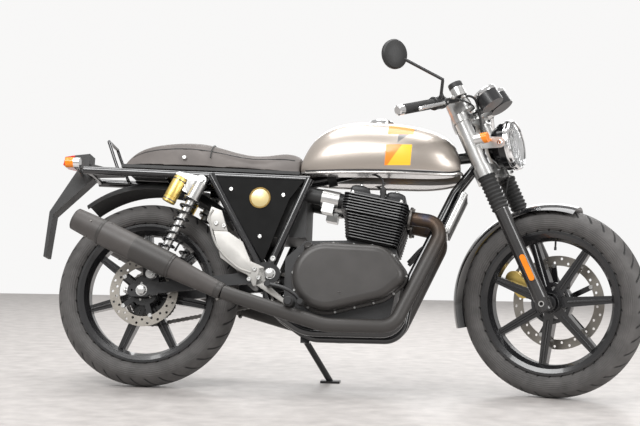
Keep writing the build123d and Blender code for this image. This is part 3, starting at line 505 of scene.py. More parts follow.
# Pieces with two finishes, and nodes that differ from their slot
FIN_BLACK = ((0.011, 0.011, 0.012), 0.45, 0.0)
LOOKS.update({
    "rear_tyre": tyre_rubber("rear_tyre_rubber", REAR_AXLE, 65.0, REAR_RADIUS),
    "front_tyre": tyre_rubber("front_tyre_rubber", FORK, 50.0, FRONT_RADIUS),
    "cylinder_block": two_tone("block_fins", fin_edges, FIN_BLACK, FIN_EDGE, 0.0002),
    "cylinder_head": two_tone("head_fins", fin_edges, FIN_BLACK, FIN_EDGE, 0.0002),
    "clip_on_bars": two_tone("bar_metal", clamp_zone, BLACK, ALLOY),
    "headlight_shell": two_tone("lamp_shell", lamp_rim, ((0.009, 0.009, 0.010), 0.14, 0.0), CHROME),
    "front_indicators": two_tone("front_indicator", front_ambers, ALLOY, AMBER),
    "rear_indicators": two_tone("rear_indicator", rear_ambers, CHROME, AMBER),
    "yokes_and_tubes": LOOKS["bright_alloy"],
    "side_covers": painted("cover_black", (0.003, 0.003, 0.003), 0.6, shine=0.15),
    "fork_sliders": painted("slider_black", (0.022, 0.021, 0.021), 0.26, coat=0.5),
    "front_wheel_casting": painted("front_wheel_black", (0.011, 0.011, 0.012), 0.24, coat=0.5),
    "rear_wheel_casting": painted("rear_wheel_black", (0.011, 0.011, 0.012), 0.24, coat=0.5),
})


def dress_nodes():
    """Every CAD node that stays in view gets its own finish, or that of its slot."""
    for subpart in frame["record"]["subparts"]:
        node = frame["nodes"][subpart["node"]]
        shade = LOOKS.get(subpart["node"]) or LOOKS[subpart["material_slot"]]
        node.data.materials.clear()
        node.data.materials.append(shade.material)


# Meshes, drawn in millimetres and placed by a frame

def aimed(position, direction):
    """A frame at a position whose Z axis points along a direction."""
    return Matrix.Translation(position) @ Vector(direction).to_track_quat("Z", "Y").to_matrix().to_4x4()


def lathe(form, place, outline, segments=28, squeeze=1.0):
    """A turned shape from an outline of (radius, height) along the place's Z."""
    rings = []
    for radius, height in outline:
        if radius < 0.01:
            rings.append([form.verts.new(place @ Vector((0, 0, height)))])
            continue
        ring = []
        for i in range(segments):
            a = 2 * pi * i / segments
            ring.append(form.verts.new(place @ Vector((radius * cos(a), radius * squeeze * sin(a), height))))
        rings.append(ring)
    for low, high in zip(rings, rings[1:]):
        for i in range(segments):
            j = (i + 1) % segments
            corners = [low[i % len(low)], low[j % len(low)], high[j % len(high)], high[i % len(high)]]
            unique = list(dict.fromkeys(corners))
            if len(unique) > 2:
                form.faces.new(unique)


def smooth_line(points, steps=6):
    """Points along a Catmull-Rom curve through the given ones."""
    points = [Vector(p) for p in points]
    padded = [2 * points[0] - points[1], *points, 2 * points[-1] - points[-2]]
    line = []
    for a, b, c, d in zip(padded, padded[1:], padded[2:], padded[3:]):
        for i in range(steps):
            t = i / steps
            square, cube = 2 * a - 5 * b + 4 * c - d, 3 * b - a - 3 * c + d
            line.append(0.5 * (2 * b + (c - a) * t + square * t**2 + cube * t**3))
    return line + [points[-1]]


def hose(form, line, radius, segments=12):
    """A round tube along a line of points."""
    line = [Vector(p) for p in line]
    normal = None
    rings = []
    for i, point in enumerate(line):
        ahead = (line[min(i + 1, len(line) - 1)] - line[max(i - 1, 0)]).normalized()
        if normal is None:
            normal = ahead.orthogonal().normalized()
        normal = (normal - ahead * normal.dot(ahead)).normalized()
        other = ahead.cross(normal)
        turns = [2 * pi * k / segments for k in range(segments)]
        rings.append([form.verts.new(point + radius * (cos(a) * normal + sin(a) * other)) for a in turns])
    for low, high in zip(rings, rings[1:]):
        for k in range(segments):
            form.faces.new([low[k], low[(k + 1) % segments], high[(k + 1) % segments], high[k]])
    form.faces.new(list(reversed(rings[0])))
    form.faces.new(rings[-1])


def bent(form, points, radius, segments=12, steps=6):
    """A round tube along a smooth curve through the points."""
    hose(form, smooth_line(points, steps), radius, segments)


def rod(form, position, direction, radius, length, segments=12):
    start = Vector(position)
    hose(form, [start, start + Vector(direction) * length], radius, segments)


def bolt(form, position, direction, radius, height):
    """A button-head bolt with a socket."""
    r, h = radius, height
    turn(form, position, direction, [
        (0, h * 0.35), (r * 0.42, h * 0.35), (r * 0.48, h), (r * 0.8, h), (r, h * 0.7), (r, -1),
    ], 18)


def turn(form, position, direction, outline, segments=28):
    lathe(form, aimed(position, direction), outline, segments)


def hex_bolt(form, position, direction, radius, height):
    """A hexagon head on a washer."""
    r, top = radius, height + 0.8
    turn(form, position, direction, [(r * 1.25, -1), (r * 1.25, 1.2), (r, 1.2)], 20)
    turn(form, position, direction, [(r, 1), (r, height), (r * 0.9, top), (0, top)], 6)


SHARP_EDGE = 32


def piece(name, form, place, slot, look=None, stands_for=(), body=None):
    """Turns a form into an object that rides on a body: by default the one whose frame it is drawn in."""
    body = body or ("steering" if place is FORK else "chassis")
    form.transform(place @ Matrix.Scale(MM, 4))
    bmesh.ops.recalc_face_normals(form, faces=form.faces)
    mesh = bpy.data.meshes.new(name)
    form.to_mesh(mesh)
    form.free()
    mesh.polygons.foreach_set("use_smooth", [True] * len(mesh.polygons))
    mesh.set_sharp_from_angle(angle=radians(SHARP_EDGE))
    mesh.materials.append(LOOKS[look or slot].material)
    made = show(name, mesh)
    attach(made, body)
    if stands_for:
        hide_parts(*stands_for)
    return made


UP, LEFT, AHEAD = (0, 0, 1), (0, 1, 0), (1, 0, 0)


def fixings(name, place, slot, look, parts, twins=True, body=None):
    """A piece of small parts (maker, position, direction, sizes), with twins of those off the middle."""
    form = bmesh.new()
    for make, position, direction, *sizes in parts:
        for side in (-1, 1) if twins and position[1] else (1,):
            make(form, mirrored(position, side), mirrored(direction, side), *sizes)
    piece(name, form, place, slot, look, body=body)


SHOCK_TILT = degrees(atan2(SHOCK_TOP[0] - SHOCK_FOOT[0], SHOCK_TOP[1] - SHOCK_FOOT[1]))
SHOCK_LENGTH = sqrt((SHOCK_TOP[0] - SHOCK_FOOT[0]) ** 2 + (SHOCK_TOP[1] - SHOCK_FOOT[1]) ** 2)
FIN_PITCH = 9.6
FIN_THICKNESS = 3.2
BLOCK_FINS = 9
HEAD_FINS = 7
HEAD_TOP = (BLOCK_FINS + HEAD_FINS) * FIN_PITCH
COIL_WIRE = 4.3
COIL_REACH = 24.6
COIL_TURNS = 10.5
RESERVOIR_X = -70
MUFFLER_LENGTH = (MUFFLER_TAIL - MUFFLER_FOOT).length
RIGHT_COVER = ((640, 372, 115), (790, 388, 93), (862, 379, 40))
LEFT_COVER = ((760, 372, 96), (800, 385, 80))
RIGHT_BOLTS = ((588, 487), (657, 500), (726, 492), (788, 478), (855, 445), (892, 381), (862, 326), (797, 294),
               (737, 264), (665, 275), (589, 289), (539, 332), (522, 388), (541, 445))
LEFT_BOLTS = ((690, 440), (760, 480), (820, 470), (880, 410), (870, 340), (800, 300), (740, 280), (680, 310))


# Suspension

def shock_place(side):
    return at(SHOCK_FOOT[0], side * SHOCK_Y, SHOCK_FOOT[1]) @ turned(SHOCK_TILT)


def make_springs():
    """Real coils in place of the sleeves that stand for them."""
    form, fittings, bands = bmesh.new(), bmesh.new(), bmesh.new()
    low, high = 50 + COIL_WIRE + 0.4, SHOCK_LENGTH - 70 - COIL_WIRE - 0.4
    for side in (-1, 1):
        place = shock_place(side)
        line = []
        for i in range(int(COIL_TURNS * 28) + 1):
            share = min(1.0, max(0.0, (i / 28 - 0.7) / (COIL_TURNS - 1.4)))
            a = 2 * pi * i / 28
            height = low + share * (high - low)
            line.append(place @ Vector((COIL_REACH * cos(a), COIL_REACH * sin(a), height)))
        hose(form, line, COIL_WIRE, 10)
        for z in (43.0, SHOCK_LENGTH - 74.0):
            lathe(fittings, place, [(16, z), (29.5, z), (29.5, z + 3), (16, z + 3)], 32)
        for eye in (place @ Vector((0, 0, SHOCK_LENGTH)), place @ Vector((0, 0, 0))):
            hex_bolt(fittings, (eye.x, side * (SHOCK_Y + 13), eye.z), (0, side, 0), 11, 7)
        for z in (252, 328):
            lathe(bands, place @ at(RESERVOIR_X, 0, 0), [(23, z), (24.8, z), (24.8, z + 4), (23, z + 4)], 32)
    piece("shock_coils", form, BIKE, "satin_black", "gloss_black", ("shock_springs",))
    piece("shock_fittings", fittings, BIKE, "bright_alloy")
    piece("reservoir_bands", bands, BIKE, "chain_steel")


# Engine

def hull_line(circles, inset, steps=180):
    """Points round the hull of circles, set in from its edge."""
    line = []
    for i in range(steps):
        n = Vector((cos(2 * pi * i / steps), sin(2 * pi * i / steps)))
        line.append(max((Vector((x, z)) + (r - inset) * n for x, z, r in circles), key=lambda p: p.dot(n)))
    return line


def nearest(line, point):
    best = None
    for a, b in zip(line, line[1:] + line[:1]):
        run = b - a
        share = 0 if run.length < 1e-6 else min(1, max(0, (point - a).dot(run) / run.length_squared))
        spot = a + share * run
        if best is None or (spot - point).length < (best - point).length:
            best = spot
    return best


def make_engine_details():
    form = bmesh.new()
    for circles, spots, side in ((RIGHT_COVER, RIGHT_BOLTS, -1), (LEFT_COVER, LEFT_BOLTS, 1)):
        line = hull_line(circles, -4.5)
        for x, z in spots:
            spot = nearest(line, Vector((x, z)))
            bolt(form, (spot.x, side * COVER_FLANGE, spot.y), (0, side, 0), 4.4, 5)
    for x, z in ((600, 300), (560, 447), (500, 380), (618, 424)):
        bolt(form, (x, 122, z), LEFT, 5.2, 5.5)
    piece("cover_bolts", form, BIKE, "bright_alloy")
    fixings("cover_fittings", BIKE, "cover_grey", None, (
        (turn, (688, -171, 306), (0, -1, -0.5), [(0, 6), (7, 6), (7.5, 4), (13, 4), (14.5, 2), (14.5, -6)]),
        (turn, (575, -118, 470), (-0.3, -0.75, 0.8), [(0, 20), (12, 20), (15, 17), (15, 4), (19, 4), (19, -8)]),
        (turn, (778, 164, 378), LEFT, [(0, 4), (38, 4), (41, 2), (41, -2)], 40),
    ), twins=False)

    top = HEAD_TOP
    fixings("head_bolts", CYLINDERS, "bright_alloy", None, (
        *((bolt, (x, y, top + 35.5), UP, 6.5, 6) for x in (-62, 62) for y in (42, 102)),
        *((hex_bolt, (x, 132, top - 0.5), UP, 7, 8) for x in (-83.42, 85.14)),
    ))
    rubber = bmesh.new()
    for side in (-1, 1):
        cap_low, cap_high = Vector((23, side * 137, top - 12)), Vector((15, side * 134, top + 40))
        lathe(rubber, aimed(cap_low, cap_high - cap_low), [
            (0, 0), (12, 0), (12, 6), (9.5, 9), (9.5, 30), (11, 33), (11, 44), (7, 50), (5, 52), (0, 52)], 24)
        lead = (cap_high - Vector((0, 0, 4)), (6, side * 126, top + 66), (-26, side * 96, top + 84),
                (-70, side * 60, top + 88))
        bent(rubber, lead, 3.6)
    piece("plug_leads", rubber, CYLINDERS, "rubber")


def make_exhaust_details():
    steel, black = bmesh.new(), bmesh.new()
    local = BIKE.inverted() @ CYLINDERS
    local.translation = local.translation / MM
    end = MUFFLER_LENGTH
    bands = (
        [(39, 188), (41.4, 189.5), (41.8, 193), (41.2, 196)],
        [(43.6, 198), (44.6, 326), (44.7, 334), (44, 338)],
        [(43.8, end - 110), (45.0, end - 108), (45.0, end - 100), (43.4, end - 97)],
        [(37.4, end - 4), (37.8, end + 1), (35, end + 3.5), (29, end + 2.5), (27.2, end - 4)],
    )
    for side in (-1, 1):
        flange = local @ at(118, side * 80, 116.4) @ turned(90)
        lathe(steel, flange, [(25, 0), (37, 0), (38.5, 1.5), (38.5, 8), (37, 9.5), (25, 9.5)], 40)
        for a in (radians(35), radians(215)):
            hex_bolt(steel, flange @ Vector((33 * cos(a), 33 * sin(a), 9)), flange.col[2].xyz, 5.5, 7)
        foot = mirrored(MUFFLER_FOOT, side)
        along = (mirrored(MUFFLER_TAIL, side) - foot).normalized()
        can = aimed(foot, along)
        lathe(black, can, [
            (26.8, 2), (29.6, 2.5), (29.6, 5), (28.6, 6), (28.6, 18), (29.6, 19), (29.6, 22), (28, 24)], 40)
        for band in bands:
            lathe(black, can, band, 48)
        middle = can @ Vector((0, 0, end - 62))
        for a in (radians(20), radians(110), radians(200), radians(290)):
            spot = can @ Vector((41.6 * cos(a), 41.6 * sin(a), end - 62))
            bolt(steel, spot, spot - middle, 3.6, 2.6)
        spot = foot + along * 12 + Vector((0, side * 6, -30))
        hex_bolt(steel, spot, (0.35 * along.x, side, 0), 5.5, 6)
        hose(black, [spot + Vector((0, -side * 16, 0)), spot + Vector((0, side * 2, 0))], 5.5, 10)
    piece("exhaust_fittings", steel, BIKE, "chain_steel")
    piece("muffler_bands", black, BIKE, "exhaust_black")


def make_cooler_details():
    edges, lines = bmesh.new(), bmesh.new()
    for side in (-1, 1):
        hose(edges, [(0, side * 64, -74), (0, side * 64, 74)], 9.5)
        hose(edges, [(11, side * 66, -75), (11, side * 66, 75)], 5.5, 10)
        run = ((0, side * 30, -74), (-4, side * 30, -110), (-46, side * 28, -150), (-70, side * 26, -220))
        bent(lines, run, 6.5)
    for height in (-75, 75):
        hose(edges, [(6, -64, height), (6, 64, height)], 5, 10)
    piece("cooler_edges", edges, COOLER, "bright_alloy")
    piece("cooler_hoses", lines, COOLER, "rubber")


# Handlebars, lamp and instruments

def bar_frame(side, share):
    """A frame along one bar: its Z runs outwards."""
    root, end = mirrored(BAR_ROOT, side), mirrored(BAR_END, side)
    return aimed(root.lerp(end, share), end - root)


def make_bar_details():
    bright, rubber, dark, red = bmesh.new(), bmesh.new(), bmesh.new(), bmesh.new()
    for side in (-1, 1):
        lathe(bright, bar_frame(side, 1.0), [(0, 25), (14, 25), (17.5, 21), (17.5, 2), (14, -1)], 32)
        place = bar_frame(side, 0.5)
        ribs = []
        for i in range(34):
            ribs += [(17.3, 4 + 4 * i), (17.3, 5.8 + 4 * i), (16.7, 6.2 + 4 * i), (16.7, 7.6 + 4 * i)]
        grip_end = (BAR_END - BAR_ROOT).length * 0.5 - 3
        lathe(rubber, place, [(22, 0.5), (22, 3)] + [rib for rib in ribs if rib[1] < grip_end], 28)
        lathe(dark, place, [(21.8, -40), (23, -39), (23, -36), (21.8, -35)], 32)
        lathe(dark, place, [(21.8, -6), (23.2, -5), (23.2, -1), (21.8, 0)], 32)
        for form, across, height in ((dark, -9, -28), (red, 2, -22), (dark, 12, -28)):
            spot = place @ Vector((across, 0, height)) + Vector((-18, 0, 10))
            turn(form, spot, (-0.8, 0, 0.6), [(0, 7), (4, 7), (5, 5.5), (5, -2)], 16)
        run = mirrored(BAR_END - BAR_ROOT, side)
        root = mirrored(BAR_ROOT, side) + run * 0.4 + Vector((26, 0, -12))
        tip = root + run * 0.5 + Vector((10, 0, -8))
        lathe(bright, aimed(tip, tip - root), [(0, 9), (5, 7), (7.5, 2), (7.5, -1), (5.4, -6)], 20)
        hose(bright, [root.lerp(tip, 0.04), root.lerp(tip, 0.5), root.lerp(tip, 0.97)], 6.4)
        bolt(dark, root + Vector((0, 0, 11)), (0, 0, 1), 5, 4)
        bolt(dark, (33, side * (LEG_Y + 24), 737), (1, side * 0.4, 0), 5, 5)
        bolt(dark, (14, side * (LEG_Y - 32), 737), (0.2, -side, 0), 5, 5)
    piece("bar_ends_and_levers", bright, FORK, "bright_alloy", "chrome")
    piece("grip_ribs", rubber, FORK, "rubber")
    piece("switch_details", dark, FORK, "satin_black")
    piece("engine_stop_switch", red, FORK, "red_lens", "red_lens")

    place = at(46, -150, 0)
    body, lid = bmesh.new(), bmesh.new()
    lathe(body, place, [(22.5, 748), (23.8, 750), (23.8, 779), (23, 781)], 32)
    lathe(lid, place, [(23, 779), (25, 780.5), (25, 795), (23.5, 798), (8, 798.5), (0, 798.5)], 32)
    piece("reservoir_body", body, FORK, "bright_alloy")
    piece("reservoir_lid", lid, FORK, "black_plastic")


def make_yoke_details():
    fixings("yoke_nuts", FORK, "bright_alloy", "chrome", (
        (hex_bolt, (0, LEG_Y, 711.8), UP, 14, 7),
        (turn, (0, LEG_Y, 0), UP, [(20.8, 344.5), (26.2, 345), (26.2, 349), (20.8, 352)], 32),
        (bolt, (HEADLIGHT_X - 22, 94, HEADLIGHT_Z + 12), LEFT, 9, 6),
        (hex_bolt, (-32.7, 0, 702.8), UP, 17, 12),
    ))
    fixings("yoke_bolts", FORK, "satin_black", None, (
        (turn, (0, LEG_Y, 0), UP, [(25.6, 466), (31.6, 467), (31.6, 472), (25.6, 473)], 32),
        (bolt, (31.5, LEG_Y - 4, LOWER_YOKE), AHEAD, 5, 5),
        (bolt, (31.5, LEG_Y - 4, TOP_YOKE), AHEAD, 5, 5),
        (bolt, (24.5, LEG_Y, 12), AHEAD, 5, 5),
        (bolt, (0, LEG_Y - 24, 305), (0, -1, 0), 4, 1),
        (turn, (8, 0, 0), UP, [(0, 712.5), (9, 712.5), (14, 710), (15, 703)]),
    ))


def make_lamp_details():
    reflector, rings = bmesh.new(), bmesh.new()
    lamp = at(HEADLIGHT_X, 0, HEADLIGHT_Z) @ turned(90 + HEADLIGHT_TILT)
    lathe(reflector, lamp, [(0, -13.85), (77.4, -13.85)], 64)
    lathe(rings, lamp, [(86, -17), (87.4, -15), (87.4, -11), (86.4, -9)], 64)
    lathe(rings, lamp, [(78, 1.5), (79.6, 5.2), (82.5, 4.6), (86.4, -0.5), (86.4, -6)], 64)
    piece("lamp_reflector", reflector, FORK, "clear_lens", "chrome")
    piece("lamp_rim_beads", rings, FORK, "bright_alloy", "chrome")


def turn_by(angle):
    return cos(radians(angle)), sin(radians(angle))


def make_dials():
    bezel, face, marks, glass = bmesh.new(), bmesh.new(), bmesh.new(), bmesh.new()
    for side in (-1, 1):
        pod = at(104, side * 47, 722) @ turned(-10)
        lathe(bezel, pod, [(42.4, 16), (43.4, 18), (43.4, 28), (41.5, 31), (38, 31), (37, 28.4)], 48)
        lathe(face, pod, [(0, 28.4), (37.5, 28.4)], 40)
        lathe(glass, pod, [(0, 30.8), (30, 30.4), (37.6, 29.6)], 40)
        strokes = [(50 + 6.5 * i, 34, 30.5, 28.6, 0.45, 0.45) for i in range(41)]
        strokes[::5] = [(stroke[0], 34, 27, 28.6, 0.9, 0.9) for stroke in strokes[::5]]
        for angle, high, low, height, tip, foot in (*strokes, (50, 27, -6, 29.2, 0.5, 1.6)):
            out, beside = Vector((*turn_by(angle), 0)), Vector((*turn_by(angle + 90), 0))
            corners = [out * high + beside * tip, out * high - beside * tip, out * low - beside * foot,
                       out * low + beside * foot]
            marks.faces.new([marks.verts.new(pod @ (c + Vector((0, 0, height)))) for c in corners])
        lathe(face, pod, [(0, 30.2), (4, 29.9), (5, 28.3)], 20)
    piece("dial_bezels", bezel, FORK, "bright_alloy", "chrome")
    piece("dial_faces", face, FORK, "satin_black", "dial")
    piece("dial_marks", marks, FORK, "satin_black", "white_mark")
    piece("dial_glass", glass, FORK, "clear_lens", "glass")


def make_cables():
    """The cables and the hose of the handlebars, which turn with them."""
    form, ends = bmesh.new(), bmesh.new()
    runs = (
        ((46, -134, 752), (72, -112, 738), (66, -72, 716), (40, -52, 640), (14, -58, 560), (2, -62, 508)),
        ((28, -186, 752), (58, -150, 720), (50, -70, 712), (10, -34, 712), (-14, -26, 650), (-14, -26, 560)),
        ((40, 176, 752), (66, 140, 742), (58, 74, 720), (14, 36, 712), (-12, 26, 650), (-12, 26, 560)),
        ((28, 70, 482), (-2, 72, 440), (-38, 74, 380), (-44, 78, 260), (-78, 82, 176), (-96, 84, 160)),
    )
    for run, radius in zip(runs, (4.2, 3.4, 3.4, 4.2)):
        line = smooth_line(run, 10)
        hose(form, line, radius)
        for spot, beyond in ((line[0], line[3]), (line[-1], line[-4])):
            lathe(ends, aimed(spot, beyond - spot), [(0, -2), (6, -2), (6, 9), (radius, 13)], 16)
    piece("bar_cables", form, FORK, "rubber")
    piece("cable_ends", ends, FORK, "bright_alloy")


# Wheels and brakes

def make_wheel_details():
    for name, place, disc, side, axle_y in (("front", FORK, 160, 1, 63), ("rear", REAR_AXLE, 120, -1, 72)):
        form = bmesh.new()
        inner = disc - 34
        for i in range(5):
            a = -2 * pi * i / 5
            for face in (-1, 1):
                spot = (inner * cos(a), side * axle_y + face * 2.3, inner * sin(a))
                turn(form, spot, (0, face, 0), [
                    (0, 1.6), (3, 1.6), (3.6, 2.6), (6.4, 2.6), (7.6, 1.4), (7.6, -0.6)], 20)
            spot = (30 * cos(a + 0.6), side * (axle_y + 2.4), 30 * sin(a + 0.6))
            bolt(form, spot, (0, side, 0), 4.2, 3.6)
        piece(name + "_disc_buttons", form, place, "bright_alloy", body=name + "_wheel")
        form = bmesh.new()
        for face in (-1, 1):
            turn(form, (0, face * 46, 0), (0, face, 0), [
                (11, 0.8), (24, 0.8), (26, 0), (33, 0), (34.6, -1.4), (34.6, -12)], 40)
        valve = Matrix.Rotation(radians(-62), 4, "Y")
        for start, end, radius in ((209, 188, 3.4), (189, 178, 4.4)):
            hose(form, [valve @ Vector((start, 0, 0)), valve @ Vector((end, 0, 0))], radius, 10)
        piece(name + "_hub_covers", form, place, "satin_black", body=name + "_wheel")
    fixings("axle_and_pivot_nuts", BIKE, "bright_alloy", None, (
        (hex_bolt, (0, 108, REAR_RADIUS), LEFT, 16, 14),
        (rod, (-62, 99, REAR_RADIUS), AHEAD, 5, 14),
        (hex_bolt, (-58, 99, REAR_RADIUS), (-1, 0, 0), 8, 6),
        (hex_bolt, (447, 140, 380), LEFT, 15, 8),
        (bolt, (455, 137, 431), LEFT, 10, 7),
    ))
    for name, place, slot, side, spots, size, washer, segments in (
        ("front", FORK, "gold", 1, ((-92, 96, 88), (-108, 96, 138)), 7, [(9, 1), (17, 1), (18.5, -1)], 28),
        ("rear", REAR_AXLE, "satin_black", -1, ((92, -88, 66), (66, -88, 92)), 6, [(8, 1), (15, 1), (16, -1)], 24),
    ):
        fixings(name + "_caliper_bolts", place, slot, None, (
            *((bolt, spot, (0, side, 0), size, 5) for spot in spots),
            *((turn, spot, (0, side, 0), washer, segments) for spot in spots),
        ), twins=False)


# Body

def make_body_details():
    cover_bolts = ((297, 673), (479, 654), (404, 509))
    hanger_bolts = ((410, 363), (378, 358), (256, 548), (284, 540), (395, 392))
    fixings("cover_and_hanger_bolts", BIKE, "bright_alloy", None, (
        *((bolt, (x, SIDE_COVER_Y, z), LEFT, 7, 4) for x, z in cover_bolts),
        *((bolt, (x, HANGER_OUT, z), LEFT, 7.5, 6) for x, z in hanger_bolts),
        (bolt, (123, 110, 788), (0, 1, 0.25), 7, 4),
    ))
    badge = (399, SIDE_COVER_Y, 644)
    rim = [(31, 1.2), (32, 2.6), (36, 2.6), (37, 1.4), (37, -0.5)]
    fixings("side_badges", BIKE, "gold", "cream", ((turn, badge, LEFT, [(0, 1.8), (30, 1.6), (31, 1.2)], 56),))
    fixings("side_badge_rings", BIKE, "gold", "brass_ring", ((turn, badge, LEFT, rim, 56),))
    ribs = [(14.2, 8)]
    for i in range(PEG_RIBS):
        low = 9 + 7.6 * i
        ribs += [(15.6, low), (15.6, low + 4.6), (14.4, low + 5.6), (14.4, low + 6.8)]
    fixings("peg_rubbers", BIKE, "rubber", None, (
        (turn, (524, HANGER_OUT, 276), LEFT, ribs + [(15.6, 80), (13, 83)]),
        (turn, (562, 177, 276), LEFT, [(9.4, 1), (11, 3), (11, 40), (9.4, 43), (0, 43.5)], 24),
    ))
    cap = [(42.6, -10), (43.2, -8), (43.2, -2), (41, 0.8), (33, 1.4), (31, 0.6), (16, 0.8), (14, 2.4), (0, 2.8)]
    parts = ((turn, (800, 0, 948.3), UP, cap, 56),)
    fixings("cap_ring", BIKE, "bright_alloy", "chrome", parts, body="fuel_cap")


# The cloth of the seat, in metres, and its seams, in millimetres
SEAT_RAISE = 1.17
SEAT_VOXEL = 0.006
SEAT_SHRINK = 0.005
SEAT_CAP = 0.007
SEAT_PRESSURE = 4.0
SEAT_STEPS = 20
SEAT_HELD = 14
SEAT_SLICE = 14
SEAT_WELT = 214


def modify(made, kind, **settings):
    modifier = made.modifiers.new(kind.lower(), kind)
    for key, value in settings.items():
        setattr(modifier, key, value)
    return modifier


def apply_modifiers(made):
    """Keeps a piece's shown shape as its mesh, with no modifier left on it."""
    bpy.context.view_layer.update()
    shown = made.evaluated_get(bpy.context.evaluated_depsgraph_get())
    mesh = bpy.data.meshes.new_from_object(shown)
    made.modifiers.clear()
    made.data = mesh


def seat_bottom(x):
    return 742 + (530 - x) * 22 / 625


def upright(mesh):
    """The places of a mesh's vertices in the upright machine, in millimetres."""
    inverse = BIKE.inverted()
    return [(inverse @ v.co) / MM for v in mesh.vertices]


def make_seat():
    """The padded seat: a cover blown up a little from inside, held to its base."""
    pad = frame["nodes"]["seat_pad"].data.copy()
    for v, local in zip(pad.vertices, upright(pad)):
        low = seat_bottom(local.x)
        local.z = low + (local.z - low) * SEAT_RAISE if local.z > low else local.z
        v.co = BIKE @ (local * MM)
    seat = show("seat_cover", pad)
    modify(seat, "REMESH", mode="VOXEL", voxel_size=SEAT_VOXEL)
    modify(seat, "DISPLACE", mid_level=0.0, strength=-SEAT_SHRINK)
    modify(seat, "SMOOTH", iterations=6)
    apply_modifiers(seat)
    start = [v.co.copy() for v in seat.data.vertices]
    cloth = modify(seat, "CLOTH").settings
    cloth.use_pressure = True
    cloth.uniform_pressure_force = SEAT_PRESSURE
    cloth.effector_weights.gravity = 0.0
    held = seat.vertex_groups.new(name="held")
    for v, local in zip(seat.data.vertices, upright(seat.data)):
        held.add([v.index], 1.0 if local.z < seat_bottom(local.x) + SEAT_HELD else 0.0, "REPLACE")
    cloth.vertex_group_mass = "held"
    for step in range(1, SEAT_STEPS + 1):
        bpy.context.scene.frame_set(step)
    apply_modifiers(seat)
    bpy.context.scene.frame_set(1)
    for v, was in zip(seat.data.vertices, start):
        moved_by = v.co - was
        if moved_by.length > SEAT_CAP:
            v.co = was + moved_by.normalized() * SEAT_CAP
    modify(seat, "SMOOTH", iterations=2)
    modify(seat, "SUBSURF", levels=1, render_levels=1)
    apply_modifiers(seat)
    seat.data.materials.clear()
    seat.data.materials.append(LOOKS["seat_black"].material)
    seat.data.polygons.foreach_set("use_smooth", [True] * len(seat.data.polygons))
    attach(seat, "chassis")
    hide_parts("seat_pad")
    return seat


def make_seat_seams(seat):
    """Piping along both edges of the top and across the seat, laid on the finished cover."""
    slices = {}
    for local in upright(seat.data):
        slices.setdefault(round(local.x / SEAT_SLICE), []).append(local)
    form = bmesh.new()
    for side in (-1, 1):
        line = []
        for key in sorted(slices):
            places = slices[key]
            top, low = max(p.z for p in places), min(p.z for p in places)
            level = low + 0.70 * (top - low)
            near = [p for p in places if p.y * side > 20 and abs(p.z - level) < 7]
            if near and -90 < key * SEAT_SLICE < 520:
                line.append(max(near, key=lambda p: p.y * side))
        smooth = [sum((line[max(0, min(len(line) - 1, i + k))] for k in (-2, -1, 0, 1, 2)), Vector()) / 5
                  for i in range(len(line))]
        bent(form, smooth, 2.2, 8, 3)
    places = [p for key in slices if abs(key * SEAT_SLICE - SEAT_WELT) < 15 for p in slices[key]
              if abs(p.x - SEAT_WELT) < 4]
    low, top = min(p.z for p in places), max(p.z for p in places)
    middle = Vector((SEAT_WELT, 0, low + 0.4 * (top - low)))
    line = []
    for i in range(37):
        a = pi * (-0.02 + 1.04 * i / 36)
        ray = Vector((0, cos(a), sin(a)))
        near = [p for p in places if (p - middle).normalized().dot(ray) > 0.992]
        if near:
            line.append(middle + ray * (max((p - middle).length for p in near) + 0.2))
    bent(form, line, 1.8, 8, 3)
    piece("seat_piping", form, BIKE, "seat_black", "rubber")


# Pieces finer than the solids that they stand for

HERE = Matrix.Identity(4)
SIDE_ON = Matrix(((1, 0, 0, 0), (0, 0, 1, 0), (0, 1, 0, 0), (0, 0, 0, 1)))  # outlines (x, z), depth along Y
MIRRORS = ((-1, (45, 250, 800), (-34, 366, 922)), (1, (62, 272, 770), (2, 346, 826)))
CHAIN_Y = 77
CHAIN_REAR = 96
CHAIN_PITCH = 15.875
SPROCKET_TEETH = 38
CHAIN_FRONT = (532, 372, 38)
TANK_EDGE = ((548, 741, 84), (600, 738, 106), (700, 737, 122), (850, 736, 128), (960, 734, 122),
             (1040, 738, 96), (1078, 748, 74), (1086, 750, 40))


def inset(outline, by):
    """An outline of (x, y) points drawn in by a distance."""
    moved_points = []
    area = sum(a[0] * b[1] - b[0] * a[1] for a, b in zip(outline, outline[1:] + outline[:1]))
    way = 1 if area > 0 else -1
    for i, (x, y) in enumerate(outline):
        before, after = outline[i - 1], outline[(i + 1) % len(outline)]
        a = Vector((x - before[0], y - before[1])).normalized()
        b = Vector((after[0] - x, after[1] - y)).normalized()
        n = Vector((-(a.y + b.y), a.x + b.x)) * way
        n = n / max(0.35, n.length_squared) * 2 if n.length > 1e-6 else n
        moved_points.append((x + n.x * by, y + n.y * by))
    return moved_points


def prism(form, place, outline, low, high, edge=0.0, steps=3):
    """An outline of (x, y) points extruded along the place's Z, with rounded edges."""
    levels = []
    for end, way in ((low, 1), (high, -1)):
        arc = [(edge * (1 - cos(pi / 2 * k / steps)), end + way * edge * (1 - sin(pi / 2 * k / steps)))
               for k in range(steps + 1)] if edge else [(0, end)]
        levels += arc[::-1] if way > 0 else arc
    rings = []
    for by, height in levels:
        line = inset(outline, by) if by else outline
        rings.append([form.verts.new(place @ Vector((x, y, height))) for x, y in line])
    for lower, upper in zip(rings, rings[1:]):
        for i in range(len(outline)):
            j = (i + 1) % len(outline)
            form.faces.new([lower[i], lower[j], upper[j], upper[i]])
    form.faces.new(list(reversed(rings[0])))
    form.faces.new(rings[-1])


def plate(form, outline, side, inner, outer, edge=0.0):
    """A side-on outline (x, z), thick between two distances from the middle."""
    prism(form, SIDE_ON, outline, *sorted((side * inner, side * outer)), edge)


